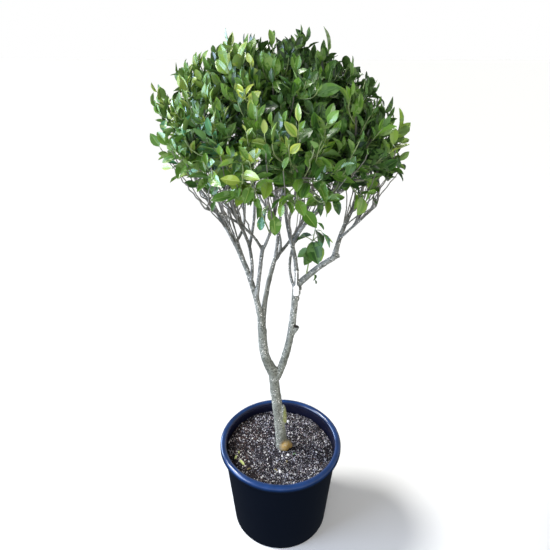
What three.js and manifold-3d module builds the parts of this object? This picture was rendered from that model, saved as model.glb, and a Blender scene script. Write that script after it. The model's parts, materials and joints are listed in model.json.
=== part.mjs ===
// A citrus tree trained as a standard in a round pot: a short forked trunk, boughs that fan out
// from it, and a flattened dome of clipped leaves. Millimetres, +Z up, with the origin at the
// middle of the pot's flat underside. The front of the tree looks along -Y.

import * as THREE from "three";
import { mergeVertices } from "three/addons/utils/BufferGeometryUtils.js";
import Module from "manifold-3d";

const wasm = await Module();
wasm.setup();

const GAP = 0.3; // clearance between neighbouring solids
const MERGE = 1e-4; // vertices nearer than this are one

const POT = {
  rimRadius: 200,
  height: 330,
  baseRadius: 161,
  wallTopRadius: 186,
  wall: 5,
  floor: 6,
  lipHeight: 22,
  lipInner: 179,
  lipEase: 4,
  neck: 8,
  foot: 4,
  drainHoles: 5,
  drainRadius: 7,
  drainCircle: 112,
  drainSides: 8,
  segments: 36,
};

const SOIL = {
  level: 290,
  edgeDrop: 7,
  flatRadius: 42,
  lump: 4,
  lumpSpacing: [23, 19, 41],
  backRise: 6,
  clear: 0.5,
};

const TRUNK = {
  foot: new THREE.Vector3(6, 12, SOIL.level + GAP),
  flare: 4,
  flareReach: 34,
  knobRadius: 20,
  knobPlace: new THREE.Vector3(17, -5, SOIL.level + 17),
  groundBox: 200,
};

// Each limb leaves its parent at a share of the parent's length. It sets off at one azimuth and
// lean from upright, in degrees, and has turned to the other pair by its tip. A turn under 1
// bends early and one over 1 bends late. Azimuth 0 is +X and 90 is +Y, the back.
const LIMBS = [
  {
    name: "trunk", length: 316, radius: [17.5, 14.8],
    azimuth: [201.8, 201.8], lean: [5.9, 5.9],
  },
  {
    name: "limb_left", parent: "trunk", at: 1, length: 153.7, radius: [13.4, 11.8],
    azimuth: [191.6, 192.9], lean: [28.5, -5.3],
  },
  {
    name: "limb_right", parent: "trunk", at: 0.9, length: 333, radius: [11.5, 9],
    azimuth: [-3, 0], lean: [48, 1], turn: 0.27,
  },
  {
    name: "left_outer", parent: "limb_left", at: 1, length: 457, radius: [9.4, 4],
    azimuth: [133, 186], lean: [9, 35],
  },
  {
    name: "limb_centre", parent: "limb_left", at: 0.89, length: 238, radius: [8.6, 6],
    azimuth: [88, 61], lean: [9, 39],
  },
  {
    name: "left_front", parent: "left_outer", at: 0.35, length: 352, radius: [4.8, 3.2],
    azimuth: [-71, -134], lean: [23, 44],
  },
  {
    name: "centre", parent: "left_outer", at: 0.23, length: 199, radius: [5.8, 4.8],
    azimuth: [-55, -76], lean: [11, 27],
  },
  {
    name: "left_back", parent: "left_outer", at: 0.62, length: 180, radius: [4.4, 3.2],
    azimuth: [62, 126], lean: [71, 45],
  },
  {
    name: "top_left", parent: "left_front", at: 0.41, length: 289, radius: [3.8, 2.8],
    azimuth: [46, 178], lean: [21, 22],
  },
  {
    name: "front_left", parent: "centre", at: 0.92, length: 251, radius: [3.6, 2.8],
    azimuth: [-115, -138], lean: [36, 65],
  },
  {
    name: "top_front", parent: "centre", at: 0.92, length: 290, radius: [4, 2.8],
    azimuth: [-61, 109], lean: [40, 11],
  },
  {
    name: "back_left", parent: "limb_centre", at: 0.96, length: 250, radius: [4.6, 3.2],
    azimuth: [31, 151], lean: [80, 46], turn: 0.37,
  },
  {
    name: "back_right", parent: "limb_centre", at: 1, length: 242, radius: [4.6, 3.2],
    azimuth: [50, 42], lean: [70, 24],
  },
  {
    name: "top_back", parent: "limb_centre", at: 1, length: 350, radius: [4.8, 2.8],
    azimuth: [60, -90], lean: [16, 9],
  },
  {
    name: "right_arm", parent: "limb_right", at: 1, length: 148, radius: [8.4, 7.2],
    azimuth: [-19, -4], lean: [38, 55],
  },
  {
    name: "upper_right", parent: "limb_right", at: 0.95, length: 174, radius: [6, 5.2],
    azimuth: [-65, -128], lean: [12, 24],
  },
  {
    name: "right_back", parent: "limb_right", at: 0.98, length: 325, radius: [4.2, 3],
    azimuth: [130, 24], lean: [51, 61], turn: 0.62,
  },
  {
    name: "right_riser", parent: "right_arm", at: 0.97, length: 186, radius: [6.6, 4.4],
    azimuth: [40, 40], lean: [15, 45],
  },
  {
    name: "right_outer", parent: "right_riser", at: 0.28, length: 158, radius: [3.4, 2.8],
    azimuth: [-65, -27], lean: [47, 41],
  },
  {
    name: "front_right", parent: "upper_right", at: 0.96, length: 243, radius: [4.8, 3.2],
    azimuth: [-65, -36], lean: [33, 52],
  },
  {
    name: "front_mid", parent: "upper_right", at: 1, length: 245, radius: [3.4, 2.8],
    azimuth: [-115, -62], lean: [27, 55],
  },
  {
    name: "top_right", parent: "upper_right", at: 1, length: 290, radius: [4, 2.8],
    azimuth: [186, 51], lean: [16, 29],
  },
];
const LIMB_STEPS = 12;
const TUBE = { step: 52, thick: 7, thickSides: 8, thinSides: 6 };
const STUBS = [
  { limb: "limb_right", at: 0.44, azimuth: -15, lean: 30, length: 46, radius: 6.5 },
  { limb: "right_arm", at: 0.94, azimuth: -10, lean: 62, length: 20, radius: 5 },
];

// The crown is a clipped dome: its reach from the centre is an ellipsoid's, with a flatter half
// below. Shoots end at a share of that reach, at the points of a golden-angle spiral.
const CROWN = {
  centre: new THREE.Vector3(-3, 0, 1285),
  across: 318,
  up: 264,
  down: 156,
  shoots: 82,
  lowestSine: -0.5,
  shootShare: 0.85,
  unevenness: 0.07,
  coreShare: [0.4, 0.72],
  coreRadius: [10, 110],
  coreMargin: 3,
  coreStep: 2,
};

// Each mass of leaves grows on from the tip of its bough and keeps to the space that is nearest
// to its own middle, which lies in the dome at an azimuth, radius and height.
const SIDE_RADIUS = 226;
const SIDE_HEIGHT = 1262;
const TOP_RADIUS = 96;
const TOP_HEIGHT = 1418;
const MASSES = [
  { name: "leaves_left", limb: "left_outer", azimuth: 180 },
  { name: "leaves_left_front", limb: "left_front", azimuth: 213 },
  { name: "leaves_front_left", limb: "front_left", azimuth: 243 },
  { name: "leaves_front", limb: "front_mid", azimuth: 279 },
  { name: "leaves_front_right", limb: "front_right", azimuth: 313 },
  { name: "leaves_right_front", limb: "right_outer", azimuth: 342 },
  { name: "leaves_right", limb: "right_riser", azimuth: 14 },
  { name: "leaves_right_back", limb: "right_back", azimuth: 46 },
  { name: "leaves_back_right", limb: "back_right", azimuth: 76 },
  { name: "leaves_back_left", limb: "back_left", azimuth: 110 },
  { name: "leaves_left_back", limb: "left_back", azimuth: 145 },
  { name: "leaves_top_left", limb: "top_left", azimuth: 185, top: true },
  { name: "leaves_top_front", limb: "top_front", azimuth: 268, top: true },
  { name: "leaves_top_right", limb: "top_right", azimuth: 0, top: true },
  { name: "leaves_top_back", limb: "top_back", azimuth: 88, top: true },
];

// Sprays that leave the bare wood below the dome, each on one short shoot.
const LOW_SPRAYS = [
  {
    name: "low_spray_right", limb: "right_arm", at: 0.26,
    azimuth: -62, lean: 20, length: 136, leaves: 10, size: 0.8,
  },
  {
    name: "low_spray_left", limb: "top_front", at: 0.42,
    azimuth: -110, lean: 118, length: 32, leaves: 5, size: 0.9,
  },
  {
    name: "low_spray_under", limb: "right_arm", at: 0.5,
    azimuth: -70, lean: 150, length: 22, leaves: 2, size: 0.55,
  },
];

const TWIG = {
  sides: 3,
  stemSides: 4,
  stemSteps: 3,
  stemRadius: 3.4,
  baseRadius: 3.4,
  tipRadius: 2.8,
  leastStart: 0.35,
};
const LEAF = {
  length: 82,
  lengthSpread: 0.16,
  trials: [1, 0.85, 0.7, 0.58],
  widthShare: 0.5,
  thickShare: 0.036,
  shoulder: -0.16,
  lift: 0.9,
  sunk: 1.5,
  opening: [66, 38],
  tipOpening: 10,
  perShoot: 5,
  turn: 137.5,
  sway: 16,
  along: [0.66, 0.97],
};
const SPRAY_MIDDLE = 0.8; // share of a low spray's length at which its leaves are centred
const MASS_SEED = 1000;
const SPRAY_SEED = 2000;

const TAG = {
  limb: "upper_right",
  at: 0.45,
  width: 15,
  height: 34,
  thickness: 1,
  strip: 3.4,
  drop: 46,
  lap: 3,
  wire: 1.1,
  ringSides: [4, 12],
};

const FINISH = {
  pot: { color: 0x16263f, roughness: 0.4, metalness: 0 },
  soil: { color: 0x3a332e, roughness: 1, metalness: 0 },
  bark: { color: 0x8a8c7c, roughness: 0.9, metalness: 0 },
  leaf: { color: 0x4c7a2a, roughness: 0.5, metalness: 0 },
  tag: { color: 0xf4f4f0, roughness: 0.6, metalness: 0 },
};

const rad = THREE.MathUtils.degToRad;
const mix = THREE.MathUtils.lerp;

// Repeatable random numbers from 0 to 1.
function seeded(seed) {
  let state = seed >>> 0;
  return () => {
    state = (state + 0x6d2b79f5) >>> 0;
    let t = state;
    t = Math.imul(t ^ (t >>> 15), t | 1);
    t ^= t + Math.imul(t ^ (t >>> 7), t | 61);
    return ((t ^ (t >>> 14)) >>> 0) / 4294967296;
  };
}

// The unit vector at an azimuth and a lean from upright, in degrees.
function heading(azimuth, lean) {
  return new THREE.Vector3(
    Math.sin(rad(lean)) * Math.cos(rad(azimuth)),
    Math.sin(rad(lean)) * Math.sin(rad(azimuth)),
    Math.cos(rad(lean)),
  );
}

// A closed geometry as a solid that can be cut and joined.
function toSolid(geometry) {
  const bare = geometry.clone();
  bare.deleteAttribute("normal");
  bare.deleteAttribute("uv");
  const merged = mergeVertices(bare, MERGE);
  return new wasm.Manifold(
    new wasm.Mesh({
      numProp: 3,
      vertProperties: new Float32Array(merged.attributes.position.array),
      triVerts: new Uint32Array(merged.index.array),
    }),
  );
}

// The largest body of a solid as a geometry. Loose scraps are dropped.
function toGeometry(solid) {
  const bodies = solid.decompose().sort((a, b) => b.volume() - a.volume());
  const mesh = bodies[0].getMesh();
  return new THREE.BufferGeometry()
    .setAttribute("position", new THREE.BufferAttribute(mesh.vertProperties, 3))
    .setIndex(new THREE.BufferAttribute(mesh.triVerts, 1));
}

// A cylinder bent along a curve, with a radius that follows its length.
function taperedTube(curve, radiusAt, sides, steps) {
  const geometry = new THREE.CylinderGeometry(1, 1, 1, sides, steps);
  const frames = curve.computeFrenetFrames(steps, false);
  const position = geometry.attributes.position;
  const vertex = new THREE.Vector3();
  for (let i = 0; i < position.count; i++) {
    vertex.fromBufferAttribute(position, i);
    const step = Math.round((vertex.y + 0.5) * steps);
    const radius = radiusAt(step / steps);
    const place = curve.getPointAt(step / steps);
    place.addScaledVector(frames.normals[step], vertex.x * radius);
    place.addScaledVector(frames.binormals[step], -vertex.z * radius);
    position.setXYZ(i, place.x, place.y, place.z);
  }
  return geometry;
}

// The points that a limb passes through, from its base to its tip.
function limbPoints(limb, start) {
  const first = heading(limb.azimuth[0], limb.lean[0]);
  const last = heading(limb.azimuth[1], limb.lean[1]);
  const points = [start.clone()];
  for (let i = 0; i < LIMB_STEPS; i++) {
    const share = ((i + 0.5) / LIMB_STEPS) ** (limb.turn ?? 1);
    const way = first.clone().lerp(last, share).normalize();
    points.push(points[i].clone().addScaledVector(way, limb.length / LIMB_STEPS));
  }
  return points;
}

// Works out each limb's curve from the ground up.
function layOutLimbs() {
  const limbs = new Map();
  for (const limb of LIMBS) {
    const start = limb.parent ? limbs.get(limb.parent).curve.getPointAt(limb.at) : TRUNK.foot;
    const points = limbPoints(limb, start);
    limbs.set(limb.name, { ...limb, points, curve: new THREE.CatmullRomCurve3(points) });
  }
  return limbs;
}

// A limb's radius along its length. The trunk widens to its root flare.
function limbRadius(limb) {
  return (share) => {
    const plain = mix(limb.radius[0], limb.radius[1], share);
    const flare = limb.parent ? 0 : TRUNK.flare * Math.exp((-share * limb.length) / TRUNK.flareReach);
    return plain + flare;
  };
}

// A limb as a solid, with its pruned stubs, and grown on all sides by a margin.
function limbSolid(limb, margin) {
  const radiusAt = limbRadius(limb);
  const sides = limb.radius[0] > TUBE.thick ? TUBE.thickSides : TUBE.thinSides;
  const steps = Math.ceil(limb.length / TUBE.step);
  let solid = toSolid(taperedTube(limb.curve, (share) => radiusAt(share) + margin, sides, steps));
  for (const stub of STUBS.filter((s) => s.limb === limb.name)) {
    const foot = limb.curve.getPointAt(stub.at);
    const end = foot.clone().addScaledVector(heading(stub.azimuth, stub.lean), stub.length + margin);
    const line = new THREE.LineCurve3(foot, end);
    solid = solid.add(toSolid(taperedTube(line, () => stub.radius + margin, TUBE.thinSides, 1)));
  }
  return limb.parent ? solid : withFoot(solid, margin);
}

// The trunk with the knob of its graft, cut off flat where it stands on the potting mix.
function withFoot(trunk, margin) {
  const knob = new THREE.SphereGeometry(TRUNK.knobRadius + margin, 8, 6);
  knob.translate(TRUNK.knobPlace.x, TRUNK.knobPlace.y, TRUNK.knobPlace.z);
  const side = TRUNK.groundBox;
  const ground = new THREE.BoxGeometry(side, side, side);
  ground.translate(0, 0, TRUNK.foot.z - margin - side / 2);
  return trunk.add(toSolid(knob)).subtract(toSolid(ground));
}

// A limb grown by the gap and lengthened by it, which cuts what meets the limb.
function limbCutter(limb) {
  const tip = limb.points[LIMB_STEPS];
  const way = limb.curve.getTangentAt(1);
  const inside = tip.clone().addScaledVector(way, -1);
  const cap = new THREE.LineCurve3(inside, tip.clone().addScaledVector(way, GAP));
  const radius = limb.radius[1] + GAP;
  return limbSolid(limb, GAP).add(toSolid(taperedTube(cap, () => radius, TUBE.thinSides, 1)));
}

// How far the crown reaches from its centre in a direction.
function crownReach(way) {
  const rise = way.z > 0 ? CROWN.up : CROWN.down;
  return 1 / Math.hypot(Math.hypot(way.x, way.y) / CROWN.across, way.z / rise);
}

// How far out a point lies, from 0 at the crown's centre to 1 at its reach.
function crownShare(point) {
  const out = point.clone().sub(CROWN.centre);
  return out.length() / crownReach(out.clone().normalize());
}

// The directions of the shoots, spread evenly by the golden angle from the skirt to the top.
function shootWays(count) {
  const golden = Math.PI * (3 - Math.sqrt(5));
  return Array.from({ length: count }, (_, i) => {
    const z = mix(CROWN.lowestSine, 1, (i + 0.5) / count);
    const level = Math.sqrt(1 - z * z);
    return new THREE.Vector3(level * Math.cos(i * golden), level * Math.sin(i * golden), z);
  });
}

// The middle of a mass's space.
function massCentre(mass) {
  const radius = mass.top ? TOP_RADIUS : SIDE_RADIUS;
  const height = mass.top ? TOP_HEIGHT : SIDE_HEIGHT;
  return new THREE.Vector3(
    CROWN.centre.x + radius * Math.cos(rad(mass.azimuth)),
    CROWN.centre.y + radius * Math.sin(rad(mass.azimuth)),
    height,
  );
}

// True if a point is nearer to its own centre than to any other, by a margin.
function inSpace(point, own, centres, margin) {
  return centres.every((other) => {
    if (other === own) return true;
    const apart = own.distanceTo(other);
    const lead = (point.distanceToSquared(other) - point.distanceToSquared(own)) / (2 * apart);
    return lead > margin;
  });
}

// A leaf of eight faces along +X with its root at the origin and its upper side facing +Z.
function leafGeometry(length) {
  const leaf = new THREE.OctahedronGeometry(1, 0);
  const position = leaf.attributes.position;
  for (let i = 0; i < position.count; i++) {
    const side = Math.abs(position.getY(i)) > 0.5;
    if (side) position.setXYZ(i, LEAF.shoulder, position.getY(i), LEAF.lift);
  }
  leaf.scale(length / 2, (length * LEAF.widthShare) / 2, (length * LEAF.thickShare) / 2);
  return leaf.translate(length / 2, 0, 0);
}

// Where a leaf stands on a twig: it opens from the twig's line, turned round it by an angle.
function leafMatrix(root, along, around, opening) {
  const side = new THREE.Vector3(0, 0, 1).cross(along);
  if (side.lengthSq() < 1e-4) side.set(1, 0, 0);
  side.normalize().applyAxisAngle(along, rad(around));
  const way = along.clone().multiplyScalar(Math.cos(rad(opening)));
  way.addScaledVector(side, Math.sin(rad(opening))).normalize();
  const across = along.clone().cross(way).normalize();
  const face = way.clone().cross(across);
  const foot = root.clone().addScaledVector(way, -LEAF.sunk);
  return new THREE.Matrix4().makeBasis(way, across, face).setPosition(foot);
}

// The corners of a geometry.
function corners(geometry) {
  const position = geometry.attributes.position;
  const corner = (_, i) => new THREE.Vector3().fromBufferAttribute(position, i);
  return Array.from({ length: position.count }, corner);
}

// True if two solids overlap.
function overlap(a, b) {
  const [boxA, boxB] = [a.boundingBox(), b.boundingBox()];
  const apart = [0, 1, 2].some((k) => boxA.min[k] > boxB.max[k] || boxB.min[k] > boxA.max[k]);
  return !apart && !a.intersect(b).isEmpty();
}

// Leaves are kept only if they stay in their mass's space and the dome, and clear of all wood and
// other leaves.
function keeper(own, centres, wood, inDome) {
  const kept = [];
  const inside = (point) => inSpace(point, own, centres, GAP) && (!inDome || crownShare(point) < 1);
  return (geometry) => {
    if (!corners(geometry).every(inside)) return null;
    const solid = toSolid(geometry);
    if ([...wood, ...kept].some((other) => overlap(solid, other))) return null;
    kept.push(solid);
    return solid;
  };
}

// A twig from its foot to its end, or nothing where it would leave its space or touch a limb.
function growTwig(foot, end, own, centres, wood) {
  const line = new THREE.LineCurve3(foot, end);
  const twig = taperedTube(line, (share) => mix(TWIG.baseRadius, TWIG.tipRadius, share), TWIG.sides, 1);
  if (!corners(twig).every((point) => inSpace(point, own, centres, GAP))) return null;
  const solid = toSolid(twig);
  return wood.some((limb) => overlap(solid, limb)) ? null : solid;
}

// What is left of a mass once the limbs that reach into it are cut out of it.
function clearOf(solid, wood) {
  return wood.filter((limb) => overlap(solid, limb)).reduce((left, limb) => left.subtract(limb), solid);
}

// The leaves of one shoot: they turn round it by the same angle, and the last one crowns it.
function shootLeaves(foot, tip, count, scale, random, keep) {
  const along = tip.clone().sub(foot).normalize();
  const first = random() * 360;
  const kept = [];
  for (let i = 0; i < count; i++) {
    const last = i === count - 1;
    const order = i / (count - 1);
    const root = foot.clone().lerp(tip, last ? 1 : mix(LEAF.along[0], LEAF.along[1], order));
    const opening = last ? LEAF.tipOpening : mix(LEAF.opening[0], LEAF.opening[1], order);
    const size = scale * LEAF.length * (1 + LEAF.lengthSpread * (2 * random() - 1));
    const sway = (2 * random() - 1) * LEAF.sway;
    for (const trial of LEAF.trials) {
      const matrix = leafMatrix(root, along, first + i * LEAF.turn + sway, opening);
      const solid = keep(leafGeometry(size * trial).applyMatrix4(matrix));
      if (solid) {
        kept.push(solid);
        break;
      }
    }
  }
  return kept;
}

// A round-cornered lump that fills most of a mass's space within the shell of the dome.
function massCore(own, centres) {
  const core = new THREE.IcosahedronGeometry(1, 0);
  const position = core.attributes.position;
  const [least, most] = CROWN.coreShare;
  const [shortest, longest] = CROWN.coreRadius;
  for (let i = 0; i < position.count; i++) {
    const way = new THREE.Vector3().fromBufferAttribute(position, i).normalize();
    let reach = shortest;
    for (let trial = reach; trial < longest; trial += CROWN.coreStep) {
      const point = own.clone().addScaledVector(way, trial);
      const share = crownShare(point);
      if (share > most || share < least) break;
      if (!inSpace(point, own, centres, CROWN.coreMargin)) break;
      reach = trial;
    }
    const point = own.clone().addScaledVector(way, reach);
    position.setXYZ(i, point.x, point.y, point.z);
  }
  return toSolid(core);
}

// A mass of the dome: a stem from the bough's tip, a core, and a shoot to each spiral point.
function growMass(mass, index, limb, ways, centres, wood) {
  const random = seeded(MASS_SEED + index);
  const own = mass.centre;
  const tip = limb.points[LIMB_STEPS];
  const out = limb.curve.getTangentAt(1);
  const start = tip.clone().addScaledVector(out, GAP);
  const half = start.distanceTo(own) / 2;
  const stem = new THREE.QuadraticBezierCurve3(start, start.clone().addScaledVector(out, half), own);
  const thick = limb.radius[1] - GAP;
  const radiusAt = (share) => mix(thick, TWIG.stemRadius, share);
  const stemSolid = toSolid(taperedTube(stem, radiusAt, TWIG.stemSides, TWIG.stemSteps));
  const parts = [stemSolid, massCore(own, centres)];
  const keep = keeper(own, centres, wood, true);
  for (const way of ways) {
    const share = CROWN.shootShare * (1 - CROWN.unevenness * random());
    const end = CROWN.centre.clone().addScaledVector(way, crownReach(way) * share);
    if (!inSpace(end, own, centres, 0)) continue;
    const foot = stem.getPointAt(mix(TWIG.leastStart, 1, random()));
    const twig = growTwig(foot, end, own, centres, wood);
    if (twig) parts.push(twig, ...shootLeaves(foot, end, LEAF.perShoot, 1, random, keep));
  }
  return clearOf(wasm.Manifold.union(parts), wood);
}

// A spray below the dome: one shoot that leaves the side of a limb.
function growSpray(spray, index, limb, centres, wood) {
  const random = seeded(SPRAY_SEED + index);
  const foot = limb.curve.getPointAt(spray.at);
  const tip = foot.clone().addScaledVector(heading(spray.azimuth, spray.lean), spray.length);
  const line = new THREE.LineCurve3(foot, tip);
  const keep = keeper(spray.centre, centres, wood, false);
  const radiusAt = (share) => mix(TWIG.stemRadius, TWIG.tipRadius, share);
  const stem = toSolid(taperedTube(line, radiusAt, TWIG.stemSides, 1));
  const leaves = shootLeaves(foot, tip, spray.leaves, spray.size, random, keep);
  return clearOf(wasm.Manifold.union([stem, ...leaves]), wood);
}

// The pot: a tapered wall, a flat floor with drain holes, and a rolled lip.
function potSolid() {
  const lipFoot = POT.height - POT.lipHeight;
  const roll = (POT.rimRadius - POT.lipInner) / 2;
  const middle = POT.lipInner + roll;
  const profile = [
    [0, 0],
    [POT.baseRadius - POT.foot, 0],
    [POT.baseRadius, POT.foot],
    [POT.wallTopRadius, lipFoot - POT.neck],
    [POT.wallTopRadius + POT.lipEase / 2, lipFoot],
    [POT.rimRadius - POT.lipEase, lipFoot],
    [POT.rimRadius, lipFoot + POT.lipEase],
  ];
  for (let angle = 0; angle <= 180; angle += 45) {
    profile.push([middle + roll * Math.cos(rad(angle)), POT.height - roll + roll * Math.sin(rad(angle))]);
  }
  profile.push([POT.wallTopRadius - POT.wall, lipFoot - POT.neck]);
  profile.push([POT.baseRadius - POT.wall, POT.floor]);
  profile.push([0, POT.floor]);
  const points = profile.map(([radius, height]) => new THREE.Vector2(radius, height));
  let solid = toSolid(new THREE.LatheGeometry(points, POT.segments).rotateX(Math.PI / 2));
  for (let i = 0; i < POT.drainHoles; i++) {
    const angle = ((i + 0.5) / POT.drainHoles) * 2 * Math.PI;
    const [radius, depth] = [POT.drainRadius, POT.floor * 4];
    const hole = new THREE.CylinderGeometry(radius, radius, depth, POT.drainSides).rotateX(Math.PI / 2);
    hole.translate(POT.drainCircle * Math.cos(angle), POT.drainCircle * Math.sin(angle), 0);
    solid = solid.subtract(toSolid(hole));
  }
  return solid;
}

// The inside radius of the pot at a height.
function potInside(height) {
  const top = POT.height - POT.lipHeight - POT.neck;
  const share = (height - POT.floor) / (top - POT.floor);
  return mix(POT.baseRadius - POT.wall, POT.wallTopRadius - POT.wall, share);
}

// The potting mix: level round the trunk, uneven beyond it, and a little higher at the back.
function soilSolid() {
  const bottom = POT.floor + GAP;
  const edge = SOIL.level - SOIL.edgeDrop;
  const wide = potInside(edge) - SOIL.clear;
  const profile = [
    [0, bottom],
    [potInside(bottom) - SOIL.clear, bottom],
    [wide, edge],
    [mix(SOIL.flatRadius, wide, 0.7), SOIL.level - 2],
    [mix(SOIL.flatRadius, wide, 0.35), SOIL.level],
    [SOIL.flatRadius, SOIL.level],
    [0, SOIL.level],
  ];
  const points = profile.map(([radius, height]) => new THREE.Vector2(radius, height));
  const soil = new THREE.LatheGeometry(points, POT.segments).rotateX(Math.PI / 2);
  const position = soil.attributes.position;
  for (let i = 0; i < position.count; i++) {
    const [x, y, z] = [position.getX(i), position.getY(i), position.getZ(i)];
    const radius = Math.hypot(x, y);
    if (z < edge - 1 || radius < SOIL.flatRadius + 1 || radius > wide - 1) continue;
    const [a, b, c] = SOIL.lumpSpacing;
    const lump = SOIL.lump * Math.sin(x / a) * Math.cos(y / b + x / c);
    position.setZ(i, z + lump + (SOIL.backRise * Math.max(0, y)) / wide);
  }
  return toSolid(soil);
}

// The white tag: a loop round its limb, a strip that hangs from it and a plain plate.
function tagSolid(limb) {
  const place = limb.curve.getPointAt(TAG.at);
  const way = limb.curve.getTangentAt(TAG.at);
  const hole = limbRadius(limb)(TAG.at) + 2 * GAP;
  const ring = new THREE.TorusGeometry(hole + TAG.wire, TAG.wire, ...TAG.ringSides);
  ring.applyQuaternion(new THREE.Quaternion().setFromUnitVectors(new THREE.Vector3(0, 0, 1), way));
  ring.translate(place.x, place.y, place.z);
  const front = place.y - (hole + 2 * TAG.wire);
  const strip = new THREE.BoxGeometry(TAG.strip, TAG.thickness, TAG.drop);
  strip.translate(place.x, front, place.z - TAG.drop / 2 + TAG.lap);
  const plate = new THREE.BoxGeometry(TAG.width, TAG.thickness, TAG.height);
  plate.translate(place.x, front, place.z - TAG.drop - TAG.height / 2 + 2 * TAG.lap);
  return wasm.Manifold.union([toSolid(ring), toSolid(strip), toSolid(plate)]);
}

const tree = new THREE.Group();

function addNode(name, solid, finish) {
  const mesh = new THREE.Mesh(toGeometry(solid), new THREE.MeshStandardMaterial(FINISH[finish]));
  mesh.name = name;
  tree.add(mesh);
}

addNode("pot", potSolid(), "pot");
addNode("soil", soilSolid(), "soil");

const limbs = layOutLimbs();
const wood = [];
for (const limb of limbs.values()) {
  const whole = limbSolid(limb, 0);
  addNode(limb.name, wood.length ? whole.subtract(wasm.Manifold.union(wood)) : whole, "bark");
  wood.push(limbCutter(limb));
}

const masses = MASSES.map((mass) => ({ ...mass, centre: massCentre(mass) }));
const sprays = LOW_SPRAYS.map((spray) => {
  const foot = limbs.get(spray.limb).curve.getPointAt(spray.at);
  const way = heading(spray.azimuth, spray.lean);
  return { ...spray, centre: foot.addScaledVector(way, spray.length * SPRAY_MIDDLE) };
});
const centres = [...masses, ...sprays].map((mass) => mass.centre);
const ways = shootWays(CROWN.shoots);
masses.forEach((mass, index) => {
  addNode(mass.name, growMass(mass, index, limbs.get(mass.limb), ways, centres, wood), "leaf");
});
sprays.forEach((spray, index) => {
  addNode(spray.name, growSpray(spray, index, limbs.get(spray.limb), centres, wood), "leaf");
});

addNode("plant_tag", tagSolid(limbs.get(TAG.limb)), "tag");

export default tree;
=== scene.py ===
"""Dresses the potted citrus standard on its CAD frame.

The limbs, the dome and the way that shoots fill it follow the rule of the part's source, with the
same sizes in millimetres. Here the rule is carried on to fine shoots and to leaves of true size.
"""

import sys
import json
import logging
import math
from collections.abc import Callable, Iterable
from dataclasses import dataclass, field
from enum import Enum
from functools import partial
from typing import NamedTuple

import bpy
import numpy as np
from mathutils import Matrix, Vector, kdtree, noise

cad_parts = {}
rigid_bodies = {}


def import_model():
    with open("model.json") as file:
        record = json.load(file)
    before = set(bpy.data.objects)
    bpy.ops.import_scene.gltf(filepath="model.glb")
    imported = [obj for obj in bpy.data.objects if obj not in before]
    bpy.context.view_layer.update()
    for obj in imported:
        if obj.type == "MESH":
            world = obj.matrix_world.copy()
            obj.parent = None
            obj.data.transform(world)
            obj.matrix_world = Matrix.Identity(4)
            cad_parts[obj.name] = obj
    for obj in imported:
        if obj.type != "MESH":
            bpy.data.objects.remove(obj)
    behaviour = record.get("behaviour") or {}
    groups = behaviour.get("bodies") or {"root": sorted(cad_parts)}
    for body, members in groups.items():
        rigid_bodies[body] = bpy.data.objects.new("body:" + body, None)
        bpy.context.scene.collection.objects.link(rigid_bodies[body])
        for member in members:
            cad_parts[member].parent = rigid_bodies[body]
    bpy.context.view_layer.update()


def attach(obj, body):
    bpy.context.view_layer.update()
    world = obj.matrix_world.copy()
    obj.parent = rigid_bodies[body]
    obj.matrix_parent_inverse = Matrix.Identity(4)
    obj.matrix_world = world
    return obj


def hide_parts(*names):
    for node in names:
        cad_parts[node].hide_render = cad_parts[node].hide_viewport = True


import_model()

LOG = logging.getLogger("citrus_standard")
MM = 0.001
GOLDEN_ANGLE = math.pi * (3 - math.sqrt(5))
UP = np.array([0.0, 0.0, 1.0])
LEAF_MAP = "OFBake"  # the leaves' own map, which their vein relief follows; the export draws patterns through a map of this name
# The factor, the two colours and the result of a Mix node that mixes colours
FACTOR, COLOUR_A, COLOUR_B, MIXED = 0, 6, 7, 2

Array = np.ndarray
Pair = tuple[float, float]
Triple = tuple[float, float, float]
Socket = bpy.types.NodeSocket
AddNode = Callable[..., Socket]


def srgb(hex_colour: str) -> tuple[float, float, float, float]:
    """Turns an sRGB hex value into the linear colour that the shaders take.

    Args:
        hex_colour: the colour as "#rrggbb".

    Returns:
        Red, green, blue and an alpha of 1.
    """
    parts = [int(hex_colour[i : i + 2], 16) / 255 for i in (1, 3, 5)]
    linear = [c / 12.92 if c <= 0.04045 else ((c + 0.055) / 1.055) ** 2.4 for c in parts]
    return (linear[0], linear[1], linear[2], 1.0)


def per_metre(millimetres: float) -> float:
    """The scale of a pattern whose features are this many millimetres apart."""
    return 1000.0 / millimetres


def mix(a: float | Array, b: float | Array, share: float | Array) -> float | Array:
    """The value at a share of the way from a to b."""
    return a + (b - a) * share


def unit(vectors: Array) -> Array:
    """The vectors, each scaled to a length of 1."""
    return vectors / np.maximum(np.linalg.norm(vectors, axis=-1, keepdims=True), 1e-9)


def heading(azimuth: float, lean: float) -> Array:
    """The unit vector at an azimuth and a lean from upright, in degrees."""
    a, b = math.radians(azimuth), math.radians(lean)
    return np.array([math.sin(b) * math.cos(a), math.sin(b) * math.sin(a), math.cos(b)])


def across(ways: Array) -> Array:
    """A level unit vector square to each way, or +X where the way is upright."""
    side = np.cross(UP, ways)
    side[np.linalg.norm(side, axis=-1) < 1e-2] = (1.0, 0.0, 0.0)
    return unit(side)


def bezier(start: Array, control: Array, end: Array, steps: int) -> Array:
    """Points along a quadratic Bezier curve.

    Args:
        start: the first point.
        control: the point that the curve sets off towards.
        end: the last point.
        steps: how many stretches the curve has.

    Returns:
        steps + 1 points, one a row.
    """
    t = np.linspace(0, 1, steps + 1)[:, None]
    return (1 - t) ** 2 * start + 2 * t * (1 - t) * control + t**2 * end


def runs(line: Array) -> Array:
    """How far along a line each of its points lies."""
    return np.concatenate([[0], np.cumsum(np.linalg.norm(np.diff(line, axis=0), axis=1))])


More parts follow.
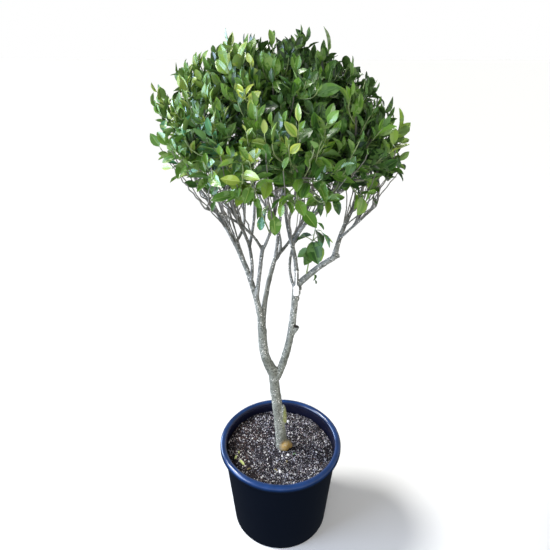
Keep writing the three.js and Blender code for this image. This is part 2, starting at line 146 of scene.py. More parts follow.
def point_on(line: Array, stations: Array, at: float | Array) -> Array:
    """The point, or points, of a line at a station, where each of its points has its own."""
    return np.stack([np.interp(at, stations, line[:, k]) for k in range(3)], axis=-1)


def quads(rows: int, columns: int, round_rows: bool = False, round_columns: bool = False) -> Array:
    """The four-sided faces of a grid of vertices, which are numbered row by row.

    Args:
        rows: how many rows the grid has.
        columns: how many vertices a row has.
        round_rows: whether the last row joins on to the first.
        round_columns: whether the last column joins on to the first.

    Returns:
        The faces, one a row.
    """
    i, j = np.mgrid[0 : rows - (not round_rows), 0 : columns - (not round_columns)]
    here, below, beside = i * columns, (i + 1) % rows * columns, (j + 1) % columns
    return np.stack([here + j, below + j, below + beside, here + beside], axis=-1).reshape(-1, 4)


def copies(faces: Array, size: int, count: int) -> Array:
    """The faces of copies of a form that has this many vertices, one copy after the other."""
    return (faces + np.arange(count)[:, None, None] * size).reshape(-1, faces.shape[1])


def tube(points: Array, radii: Array, sides: int) -> tuple[Array, Array]:
    """A closed tube along points, with end caps drawn in to a blunt tip.

    Args:
        points: the middle line, one point a row.
        radii: the radius at each point.
        sides: how many sides it has.

    Returns:
        Its vertices and its four-sided faces.
    """
    cap = 0.02
    ways = unit(np.gradient(points, axis=0))
    normal = unit(np.cross(ways[0], across(ways[:1])[0]))
    rings = []
    angles = np.arange(sides) / sides * math.tau
    for point, way, radius in zip(points, ways, radii):
        normal = unit(normal - way * (normal @ way))
        ring = np.outer(np.cos(angles), normal) + np.outer(np.sin(angles), np.cross(way, normal))
        rings.append(point + radius * ring)
    first, last = (points[k] + cap * (rings[k] - points[k]) for k in (0, -1))
    verts = np.concatenate([first, *rings, last])
    return verts, quads(len(rings) + 2, sides, round_columns=True)[:, [0, 3, 2, 1]]


def put(name: str, data: bpy.types.ID) -> bpy.types.Object:
    """Puts an object with its data into the scene."""
    thing = bpy.data.objects.new(name, data)
    bpy.context.scene.collection.objects.link(thing)
    return thing


def work(piece: bpy.types.Object) -> bpy.types.Mesh:
    """Gives a piece the mesh that its modifiers make of it, smoothly shaded, and returns that mesh."""
    graph = bpy.context.evaluated_depsgraph_get()
    mesh = bpy.data.meshes.new_from_object(piece.evaluated_get(graph))
    piece.modifiers.clear()
    piece.data = mesh
    mesh.polygons.foreach_set("use_smooth", np.full(len(mesh.polygons), True))
    return mesh


def settle(piece: bpy.types.Object, slot: str, *nodes: str) -> None:
    """Hangs a finished piece on the frame in place of its CAD nodes and reports it.

    Args:
        piece: the object, in place.
        slot: the record's material slot of the piece; it is not used.
        nodes: the CAD nodes that it stands for.
    """
    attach(piece, "root")
    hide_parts(*nodes)
    triangles = sum(p.loop_total - 2 for p in piece.data.polygons)
    LOG.info("%s: %d triangles in place of %s", piece.name, triangles, ", ".join(nodes))


def feed(node: bpy.types.Node, inputs: dict) -> None:
    """Feeds a node.

    Args:
        node: the node.
        inputs: for each input, by name or number, a value or the output socket that feeds it.
    """
    for key, value in inputs.items():
        if isinstance(value, Socket):
            node.id_data.links.new(value, node.inputs[key])
        else:
            node.inputs[key].default_value = value


def add_node(
    tree: bpy.types.NodeTree,
    kind: str,
    inputs: dict | None = None,
    output: str | int = 0,
    stops: Iterable[tuple[float, str]] = (),
    **settings: object,
) -> Socket:
    """Adds one shader node with its settings, values and links.

    Args:
        tree: the node tree.
        kind: the node's type, such as "TexNoise".
        inputs: for each input, by name or number, a value or the output socket that feeds it.
        output: the name or number of the output that is wanted.
        stops: for a colour ramp, the place and sRGB hex colour of each stop, in rising order.
        settings: the node's own settings by name.

    Returns:
        The output socket.
    """
    node = tree.nodes.new(f"ShaderNode{kind}")
    for name, value in settings.items():
        setattr(node, name, value)
    for i, (place, colour) in enumerate(stops):
        elements = node.color_ramp.elements
        stop = elements[i] if i < 2 else elements.new(place)
        stop.position = place
        stop.color = srgb(colour)
    feed(node, inputs or {})
    return node.outputs[output]


@dataclass(frozen=True)
class Finish:
    """What every finish has: its name, roughness and IOR, and how it becomes a material."""

    name: str
    roughness: float
    ior: float

    def lay(self, add: AddNode) -> dict[str, object]:
        """Lays the finish's nodes.

        Args:
            add: adds a node to the material, as add_node does.

        Returns:
            What each input of the shader gets, by its name: a value or a socket.
        """
        raise NotImplementedError

    def material(self) -> bpy.types.Material:
        """Makes the material."""
        material = bpy.data.materials.new(self.name)
        material.use_nodes = True
        shader = material.node_tree.nodes["Principled BSDF"]
        feed(shader, {"Roughness": self.roughness, "IOR": self.ior})
        feed(shader, self.lay(partial(add_node, material.node_tree)))
        return material


@dataclass(frozen=True)
class MouldedPolypropylene(Finish):
    """Injection-moulded polypropylene, dyed navy: satin walls with a faint flow mottle.

    The wall is dyed an almost black navy. The lip's top is painted a clearer blue for the light that falls on
    it, and the inside above the mix a lighter purple-navy for the light that falls into the pot: both are
    painted light.
    """

    name: str = "navy_moulded_polypropylene"
    roughness: float = 0.26
    ior: float = 1.49
    wall: str = "#050a15"
    # painted light: the clearer blue of the lip's top, for the light that falls on it
    painted_lit_rim: str = "#1c3a6c"
    # painted light: the lighter purple-navy of the inside, for the light that falls into the pot
    inside: str = "#14162d"
    painted_light_heights: Pair = (0.3105, 0.329)
    painted_light_strength: float = 1.7
    inner_edge: float = 0.1825
    painted_inside_heights: Pair = (0.266, 0.27)
    painted_inside_strength: float = 0.8
    lip_gloss: float = 0.14
    dulling: Pair = (-0.04, 0.14)
    flow: float = 60.0
    peel: float = 2.2

    def lay(self, add: AddNode) -> dict[str, object]:
        """Lays the wall's dye, the painted light on its lip and inside, and the mould's fine peel.

        Args:
            add: adds a node to the material.

        Returns:
            The shader's inputs.
        """
        place = add("TexCoord", output="Object")
        height = add("SeparateXYZ", {0: place}, "Z")
        # Painted light: the lip's top is mixed towards a clearer blue where light falls on it; the same mask
        # also makes the lip glossier.
        low, high = self.painted_light_heights
        lip = {"Value": height, "From Min": low, "From Max": high}
        lip_light_and_gloss = add("MapRange", lip, interpolation_type="SMOOTHSTEP")
        mottle = add("TexNoise", {"Vector": place, "Scale": per_metre(self.flow), "Detail": 5.0}, "Fac")
        share = add("Math", {0: lip_light_and_gloss, 1: mottle}, operation="MULTIPLY")
        share = add("Math", {0: share, 1: self.painted_light_strength}, operation="MULTIPLY")
        dye_and_painted_light = {COLOUR_A: srgb(self.wall), COLOUR_B: srgb(self.painted_lit_rim)}
        colour = add("Mix", {FACTOR: share, **dye_and_painted_light}, MIXED, data_type="RGBA")
        level = add("VectorMath", {0: place, 1: (1.0, 1.0, 0.0)}, operation="MULTIPLY")
        radius = add("VectorMath", {0: level}, "Value", operation="LENGTH")
        edge = {"From Min": self.inner_edge, "From Max": self.inner_edge - 0.001}
        painted_inside_share = add("MapRange", {"Value": radius, **edge, "To Max": self.painted_inside_strength})
        # Painted light: the inner wall above the mix is mixed towards a lighter purple-navy for the light
        # that falls into the pot.
        low, high = self.painted_inside_heights
        upper = add("MapRange", {"Value": height, "From Min": low, "From Max": high})
        painted_inside_share = add("Math", {0: painted_inside_share, 1: upper}, operation="MULTIPLY")
        dye_and_painted_light = {COLOUR_A: colour, COLOUR_B: srgb(self.inside)}
        colour = add("Mix", {FACTOR: painted_inside_share, **dye_and_painted_light}, MIXED, data_type="RGBA")
        least, most = (self.roughness + change for change in self.dulling)
        rough = add("MapRange", {"Value": mottle, "To Min": least, "To Max": most})
        rough = add("Math", {0: lip_light_and_gloss, 1: -self.lip_gloss, 2: rough}, operation="MULTIPLY_ADD")
        peel = add("TexNoise", {"Vector": place, "Scale": per_metre(self.peel), "Detail": 2.0}, "Fac")
        bump = add("Bump", {"Strength": 0.25, "Distance": 0.0001, "Height": peel})
        return {"Base Color": colour, "Roughness": rough, "Normal": bump}


@dataclass(frozen=True)
class CitrusBark(Finish):
    """Smooth living bark: grey-green with darker mottling and pale lenticel specks.

    Young wood is darker. Moss greens the right of the trunk's foot, the knob of the graft is bare
    orange-brown wood, and the pruned stub ends in a weathered dark cut. A spot's colour has the
    place of its middle and its reach along each axis, in metres.
    """

    name: str = "citrus_bark"
    roughness: float = 0.72
    ior: float = 1.45
    old: tuple[str, str, str] = ("#66695f", "#7d8179", "#969a93")
    young: tuple[str, str, str] = ("#4c4e4b", "#6e706c", "#969895")
    ramp: Triple = (0.32, 0.5, 0.7)
    stain: str = "#40433c"
    stain_from: Pair = (0.51, 0.62)
    lenticel: str = "#fbfaf2"
    lenticel_size: Pair = (0.24, 0.18)
    strewn: Pair = (0.43, 0.5)
    moss: str = "#767a34"
    graft: str = "#98782f"
    cut: str = "#2a2622"
    patch: float = 46.0
    mottle: float = 6.0
    lenticel_spacing: float = 6.4
    grain: float = 2.6
    moss_spot: tuple[Triple, Triple] = ((0.018, -0.01, 0.42), (0.015, 0.018, 0.075))
    graft_spot: tuple[Triple, Triple] = ((0.022, -0.012, 0.306), (0.028, 0.03, 0.025))
    cut_spot: tuple[Triple, Triple] = ((0.0446, -0.0061, 0.7736), (0.013, 0.013, 0.008))

    def near(self, add: AddNode, place: Socket, spot: tuple[Triple, Triple]) -> Socket:
        """How near a place is to a spot's middle: 0 at its reach and 1 well inside.

        Args:
            add: adds a node to the material.
            place: the place.
            spot: the spot's middle and its reach along each axis.

        Returns:
            The nearness.
        """
        middle, reach = spot
        apart = add("VectorMath", {0: place, 1: middle}, operation="SUBTRACT")
        scaled = add("VectorMath", {0: apart, 1: reach}, operation="DIVIDE")
        length = add("VectorMath", {0: scaled}, "Value", operation="LENGTH")
        return add("MapRange", {"Value": length, "From Min": 1.0, "From Max": 0.6})

    def lay(self, add: AddNode) -> dict[str, object]:
        """Lays the bark's mottled greys, and over them its stains, lenticels, moss, graft and cut.

        Args:
            add: adds a node to the material.

        Returns:
            The shader's inputs.
        """
        place = add("TexCoord", output="Object")
        patch = add("TexNoise", {"Vector": place, "Scale": per_metre(self.patch), "Detail": 6.0}, "Fac")
        girth = add("Attribute", output="Fac", attribute_name="girth")
        young, old = (
            add("ValToRGB", {"Fac": patch}, stops=zip(self.ramp, colours))
            for colours in (self.young, self.old)
        )
        colour = add("Mix", {FACTOR: girth, COLOUR_A: young, COLOUR_B: old}, MIXED, data_type="RGBA")
        mottle = add("TexNoise", {"Vector": place, "Scale": per_metre(self.mottle), "Detail": 4.0}, "Fac")
        low, high = self.stain_from
        stained = add("MapRange", {"Value": mottle, "From Min": low, "From Max": high, "To Max": 0.85})
        cells = add("TexVoronoi", {"Vector": place, "Scale": per_metre(self.lenticel_spacing)}, "Distance")
        edge, full = self.lenticel_size
        speck = add("MapRange", {"Value": cells, "From Min": edge, "From Max": full})
        low, high = self.strewn
        strewn = add("MapRange", {"Value": patch, "From Min": low, "From Max": high})
        pale = add("Math", {0: speck, 1: strewn}, operation="MULTIPLY")
        moss, graft, cut = (
            self.near(add, place, spot) for spot in (self.moss_spot, self.graft_spot, self.cut_spot)
        )
        patchy = add("Math", {0: moss, 1: mottle, 2: 0.25}, operation="MULTIPLY_ADD", use_clamp=True)
        patchy = add("Math", {0: patchy, 1: moss}, operation="MULTIPLY")
        spotty = add("Math", {0: mottle, 1: 1.5}, operation="MULTIPLY")
        graft = add("Math", {0: graft, 1: spotty}, operation="MULTIPLY", use_clamp=True)
        shares = (stained, pale, patchy, graft, cut)
        for share, tint in zip(shares, (self.stain, self.lenticel, self.moss, self.graft, self.cut)):
            over = {FACTOR: share, COLOUR_A: colour, COLOUR_B: srgb(tint)}
            colour = add("Mix", over, MIXED, data_type="RGBA")
        grain = add("TexNoise", {"Vector": place, "Scale": per_metre(self.grain), "Detail": 5.0}, "Fac")
        relief = add("Math", {0: grain, 1: pale}, operation="ADD")
        bump = add("Bump", {"Strength": 0.6, "Distance": 0.0006, "Height": relief})
        return {"Base Color": colour, "Normal": bump}


@dataclass(frozen=True)
class GrainedFinish(Finish):
    """A finish with one grain: noise that drifts through its colours and raises its relief."""

    colours: tuple[str, ...]
    stops: tuple[float, ...] = ()
    grain: float = 5.0
    detail: float = 3.0
    strength: float = 0.5
    relief: float = 0.0004

    def lay(self, add: AddNode) -> dict[str, object]:
        """Lays one plain colour, two that drift or a ramp of them, and the relief if it has any.

        Args:
            add: adds a node to the material.

        Returns:
            The shader's inputs.
        """
        place = add("TexCoord", output="Object")
        pattern = {"Vector": place, "Scale": per_metre(self.grain), "Detail": self.detail}
        grain = add("TexNoise", pattern, "Fac")
        colour = srgb(self.colours[0])
        if self.stops:
            colour = add("ValToRGB", {"Fac": grain}, stops=zip(self.stops, self.colours))
        elif len(self.colours) > 1:
            drift = {FACTOR: grain, COLOUR_A: colour, COLOUR_B: srgb(self.colours[1])}
            colour = add("Mix", drift, MIXED, data_type="RGBA")
        if not self.relief:
            return {"Base Color": colour}
        bump = add("Bump", {"Strength": self.strength, "Distance": self.relief, "Height": grain})
        return {"Base Color": colour, "Normal": bump}


@dataclass(frozen=True)
class ShootSkin(GrainedFinish):
    """The skin of a thin shoot: dull and finely ridged, from grey-brown wood to fresh green."""

    ior: float = 1.45
    colours: tuple[str, ...] = ("#4f4e48", "#85847b")


@dataclass(frozen=True)
class PottingMixBody(GrainedFinish):
    """Composted bark and peat, sifted: near black and bluish when damp, with dry greyer crumbs."""

    name: str = "composted_bark_mix"
    roughness: float = 0.95
    ior: float = 1.4
    colours: tuple[str, ...] = ("#131116", "#262329", "#403a3f")
    stops: tuple[float, ...] = (0.38, 0.55, 0.72)
    detail: float = 6.0
    strength: float = 0.9
    relief: float = 0.002


@dataclass(frozen=True)
class Crumb(GrainedFinish):
    """A mineral or bark crumb: matt and pitted, in one plain colour for each kind."""

    roughness: float = 0.9
    ior: float = 1.5
    colours: tuple[str, ...] = ("#ffffff",)
    grain: float = 0.9
    detail: float = 2.0
    strength: float = 0.6


@dataclass(frozen=True)
class TagPlastic(GrainedFinish):
    """Die-cut polystyrene film, weathered: white with a faint grime."""

    name: str = "white_polystyrene_film"
    roughness: float = 0.42
    ior: float = 1.59
    colours: tuple[str, ...] = ("#dcdcd6", "#f7f7f3")
    grain: float = 9.0
    detail: float = 4.0
    relief: float = 0.0


@dataclass(frozen=True)
class LeafCuticle(Finish):
    """The waxed upper side of a leaf: one plain green, with the relief of its side veins.

    The veins follow the leaf's own map, so they slant from its midrib on every leaf.
    """

    roughness: float = 0.34
    ior: float = 1.48
    colour: str = "#3f6b22"
    veins: float = 9.0
    slant: float = 2.2
    relief: float = 0.0004
    wax: float = 0.7

    def lay(self, add: AddNode) -> dict[str, object]:
        """Lays the plain green, its wax and the relief of its veins.

        Args:
            add: adds a node to the material.

        Returns:
            The shader's inputs.
        """
        leaf = add("UVMap", uv_map=LEAF_MAP)
        side = add("Math", {0: add("SeparateXYZ", {0: leaf}, "X"), 1: 0.5}, operation="PINGPONG")
        off = add("Math", {0: side, 1: 0.25}, operation="SUBTRACT")
        out = add("Math", {0: off}, operation="ABSOLUTE")
        along = add("SeparateXYZ", {0: leaf}, "Y")
        slanted = add("Math", {0: out, 1: -self.slant, 2: along}, operation="MULTIPLY_ADD")
        phase = add("Math", {0: slanted, 1: self.veins * math.tau}, operation="MULTIPLY")
        wave = add("Math", {0: phase}, operation="SINE")
        bump = add("Bump", {"Strength": 0.35, "Distance": self.relief, "Height": wave})
        coat = {"Coat Weight": self.wax, "Coat Roughness": 0.2}
        return {"Base Color": srgb(self.colour), **coat, "Normal": bump}


@dataclass(frozen=True)
class StudioPaint(Finish):
    """Matt white paint rolled on a studio floor."""

    name: str = "studio_white_paint"
    roughness: float = 0.9
    ior: float = 1.45
    colour: str = "#eeeff0"

    def lay(self, add: AddNode) -> dict[str, object]:
        """Lays the plain paint."""
        return {"Base Color": srgb(self.colour)}


class Flush(Enum):
    """The ages of growth, each with the plain colours of its midribs and leaf undersides."""

    # the undersides' pale greens are partly their own colour and partly painted light, for light that shines
    # through a leaf
    OLD = ("#56783a", "#55773d")
    MATURE = ("#84a150", "#73924e")
    FRESH = ("#b0c46a", "#9fb765")


class LeafTint(Enum):
    """The plain greens of the upper sides, from shaded leaves to the youngest ones."""

    SHADE = ("#1b3613", Flush.OLD)
    DEEP = ("#294a1b", Flush.OLD)
    GLOSSY = ("#3a6123", Flush.OLD)
    MIDDLE = ("#507a27", Flush.MATURE)
    CLEAR = ("#65902f", Flush.MATURE)
    SUNLIT = ("#7c9e38", Flush.MATURE)
    FRESH = ("#92aa48", Flush.FRESH)
    LIME = ("#a6b860", Flush.FRESH)
    YELLOW = ("#b2c44e", Flush.FRESH)
    # painted sheen: a blue-green that stands in for the sky's reflection on low leaves to the left
    COOL = ("#4f8a62", Flush.MATURE)


TINTS = list(LeafTint)
LIGHTEST = TINTS.index(LeafTint.YELLOW)
FLUSHES = list(Flush)


@dataclass
class MeshBatch:
    """Vertices in millimetres, faces, slots and map places, gathered for one joined piece."""

    verts: list[Array] = field(default_factory=list)
    faces: list[Array] = field(default_factory=list)
    slots: list[Array] = field(default_factory=list)
    places: list[Array] = field(default_factory=list)
    count: int = 0

    def add(self, verts: Array, faces: Array, slots: int | Array = 0, places: Array | None = None) -> None:
        """Adds vertices with their faces.

        Args:
            verts: the vertices, one a row.
            faces: their numbers among these vertices, one face a row.
            slots: the material slot of the faces, one number or one a face.
            places: each vertex's place on the leaf map.
        """
        self.verts.append(verts)
        self.faces.append(faces + self.count)
        self.slots.append(np.broadcast_to(np.asarray(slots), (len(faces),)))
        self.places.append(np.zeros((len(verts), 2)) if places is None else places)
        self.count += len(verts)

    def piece(self, name: str, materials: list[bpy.types.Material], smooth: bool = True) -> bpy.types.Object:
        """Joins what was added into one object, with the slots that its faces use.

        Args:
            name: the object's name.
            materials: the materials in the order of the slots.
            smooth: whether its faces are shaded smooth.

        Returns:
            The object, in the scene.
        """
        verts = np.concatenate(self.verts) * MM
        loops = np.concatenate([f.ravel() for f in self.faces])
        sizes = np.concatenate([np.full(len(f), f.shape[1]) for f in self.faces])
        slots = np.concatenate(self.slots)
        used = sorted(set(slots.tolist()))
        mesh = bpy.data.meshes.new(name)
        mesh.vertices.add(len(verts))
        mesh.vertices.foreach_set("co", verts.astype(np.float32).ravel())
        mesh.loops.add(len(loops))
        mesh.loops.foreach_set("vertex_index", loops.astype(np.int32))
        mesh.polygons.add(len(sizes))
        mesh.polygons.foreach_set("loop_start", (np.cumsum(sizes) - sizes).astype(np.int32))
        mesh.polygons.foreach_set("material_index", np.searchsorted(used, slots).astype(np.int32))
        mesh.polygons.foreach_set("use_smooth", np.full(len(sizes), smooth))
        places = np.concatenate(self.places)
        if places.any():
            layer = mesh.uv_layers.new(name=LEAF_MAP)
            layer.uv.foreach_set("vector", places[loops].astype(np.float32).ravel())
        for slot in used:
            mesh.materials.append(materials[slot])
        mesh.update(calc_edges=True)
        mesh.validate()
        return put(name, mesh)


class Seeded:
    """Repeatable random numbers from 0 to 1, by the same sum as the part's source."""

    def __init__(self, seed: int) -> None:
        """Starts at a seed."""
        self.state = seed

    def __call__(self) -> float:
        """The next number."""
        self.state = (self.state + 0x6D2B79F5) & 0xFFFFFFFF
        t = self.state
        t = ((t ^ (t >> 15)) * (t | 1)) & 0xFFFFFFFF
        t ^= (t + ((t ^ (t >> 7)) * (t | 61) & 0xFFFFFFFF)) & 0xFFFFFFFF
        return ((t ^ (t >> 14)) & 0xFFFFFFFF) / 4294967296

    def between(self, low: float, high: float) -> float:
        """The next number, from low to high."""
        return mix(low, high, self())


@dataclass(frozen=True)
class LimbRule:
    """How one tapering limb leaves its parent and turns, as the part's source says it.

    Its radius, azimuth and lean are each told for its foot and for its tip.
    """

    name: str
    parent: str
    at: float
    length: float
    radius: Pair
    azimuth: Pair
    lean: Pair
    turn: float = 1.0


LIMB_RULES = (
    LimbRule("trunk", "", 0, 316, (17.5, 14.8), (201.8, 201.8), (5.9, 5.9)),
    LimbRule("limb_left", "trunk", 1, 153.7, (13.4, 11.8), (191.6, 192.9), (28.5, -5.3)),
    LimbRule("limb_right", "trunk", 0.9, 333, (11.5, 9), (-3, 0), (48, 1), 0.27),
    LimbRule("left_outer", "limb_left", 1, 457, (9.4, 4), (133, 186), (9, 35)),
    LimbRule("limb_centre", "limb_left", 0.89, 238, (8.6, 6), (88, 61), (9, 39)),
    LimbRule("left_front", "left_outer", 0.35, 352, (4.8, 3.2), (-71, -134), (23, 44)),
    LimbRule("centre", "left_outer", 0.23, 199, (5.8, 4.8), (-55, -76), (11, 27)),
    LimbRule("left_back", "left_outer", 0.62, 180, (4.4, 3.2), (62, 126), (71, 45)),
    LimbRule("top_left", "left_front", 0.41, 289, (3.8, 2.8), (46, 178), (21, 22)),
    LimbRule("front_left", "centre", 0.92, 251, (3.6, 2.8), (-115, -138), (36, 65)),
    LimbRule("top_front", "centre", 0.92, 290, (4, 2.8), (-61, 109), (40, 11)),
    LimbRule("back_left", "limb_centre", 0.96, 250, (4.6, 3.2), (31, 151), (80, 46), 0.37),
    LimbRule("back_right", "limb_centre", 1, 242, (4.6, 3.2), (50, 42), (70, 24)),
    LimbRule("top_back", "limb_centre", 1, 350, (4.8, 2.8), (60, -90), (16, 9)),
    LimbRule("right_arm", "limb_right", 1, 148, (8.4, 7.2), (-19, -4), (38, 55)),
    LimbRule("upper_right", "limb_right", 0.95, 174, (6, 5.2), (-65, -128), (12, 24)),
    LimbRule("right_back", "limb_right", 0.98, 325, (4.2, 3), (130, 24), (51, 61), 0.62),
    LimbRule("right_riser", "right_arm", 0.97, 186, (6.6, 4.4), (40, 40), (15, 45)),
    LimbRule("right_outer", "right_riser", 0.28, 158, (3.4, 2.8), (-65, -27), (47, 41)),
    LimbRule("front_right", "upper_right", 0.96, 243, (4.8, 3.2), (-65, -36), (33, 52)),
    LimbRule("front_mid", "upper_right", 1, 245, (3.4, 2.8), (-115, -62), (27, 55)),
    LimbRule("top_right", "upper_right", 1, 290, (4, 2.8), (186, 51), (16, 29)),
)


@dataclass
class Limb:
    """A limb laid out in space: its rule, a smooth line, and the share of its length at each point."""

    rule: LimbRule
    line: Array
    shares: Array
    flare: float = 4.0
    flare_reach: float = 34.0

    @classmethod
    def grown(cls, rule: LimbRule, start: Array, steps: int = 12, fine: int = 8) -> "Limb":
        """Lays a limb out from its start.

        Args:
            rule: the limb's rule.
            start: its first point.
            steps: how many equal stretches the rule turns it in.
            fine: how many points the smooth line has for each stretch.

        Returns:
            The limb.
        """
        first, last = (heading(azimuth, lean) for azimuth, lean in zip(rule.azimuth, rule.lean))
        knots = [start]
        for i in range(steps):
            share = ((i + 0.5) / steps) ** rule.turn
            knots.append(knots[-1] + unit(mix(first, last, share)) * rule.length / steps)
        p = np.array([2 * knots[0] - knots[1], *knots, 2 * knots[-1] - knots[-2]])
        t = np.linspace(0, 1, fine, endpoint=False)[:, None]
        line = []
        for a, b, c, d in zip(p, p[1:], p[2:], p[3:]):
            square, cube = 2 * a - 5 * b + 4 * c - d, 3 * b - a - 3 * c + d
            line.append(0.5 * (2 * b + (c - a) * t + square * t**2 + cube * t**3))
        line = np.concatenate([*line, p[-2:-1]])
        run = runs(line)
        return cls(rule, line, run / run[-1])

    def at(self, share: float | Array) -> Array:
        """The point, or points, at a share of the limb's length."""
        return point_on(self.line, self.shares, share)

    def way(self, share: float) -> Array:
        """The limb's direction at a share of its length."""
        return unit(self.at(min(share + 0.01, 1.0)) - self.at(max(share - 0.01, 0.0)))

    def radius(self, share: float | Array) -> float | Array:
        """The limb's radius, which on the trunk widens to the root flare."""
        away = np.asarray(share) * self.rule.length / self.flare_reach
        return mix(*self.rule.radius, share) + (0 if self.rule.parent else self.flare * np.exp(-away))


def lay_out_limbs(foot: Triple = (6.0, 12.0, 290.3)) -> dict[str, Limb]:
    """Lays every limb out from the trunk's foot up, each from a point on its parent."""
    limbs: dict[str, Limb] = {}
    for rule in LIMB_RULES:
        start = limbs[rule.parent].at(rule.at) if rule.parent else np.array(foot)
        limbs[rule.name] = Limb.grown(rule, start)
    return limbs


def map_wood(limbs: dict[str, Limb], scale: float = 1.0) -> tuple[kdtree.KDTree, list[float]]:
    """Maps the middles of all limbs, so that the limb nearest to a place can be found.

    Args:
        limbs: the limbs.
        scale: what their points are multiplied by, which is MM for a map in metres.

    Returns:
        The map, and the radius in millimetres at each of its points.
    """
    points, radii = [], []
    for limb in limbs.values():
        shares = np.linspace(0, 1, max(8, int(limb.rule.length / 5)))
        points += list(limb.at(shares) * scale)
        radii += limb.radius(shares).tolist()
    wood = kdtree.KDTree(len(points))
    for i, point in enumerate(points):
        wood.insert(point, i)
    wood.balance()
    return wood, radii


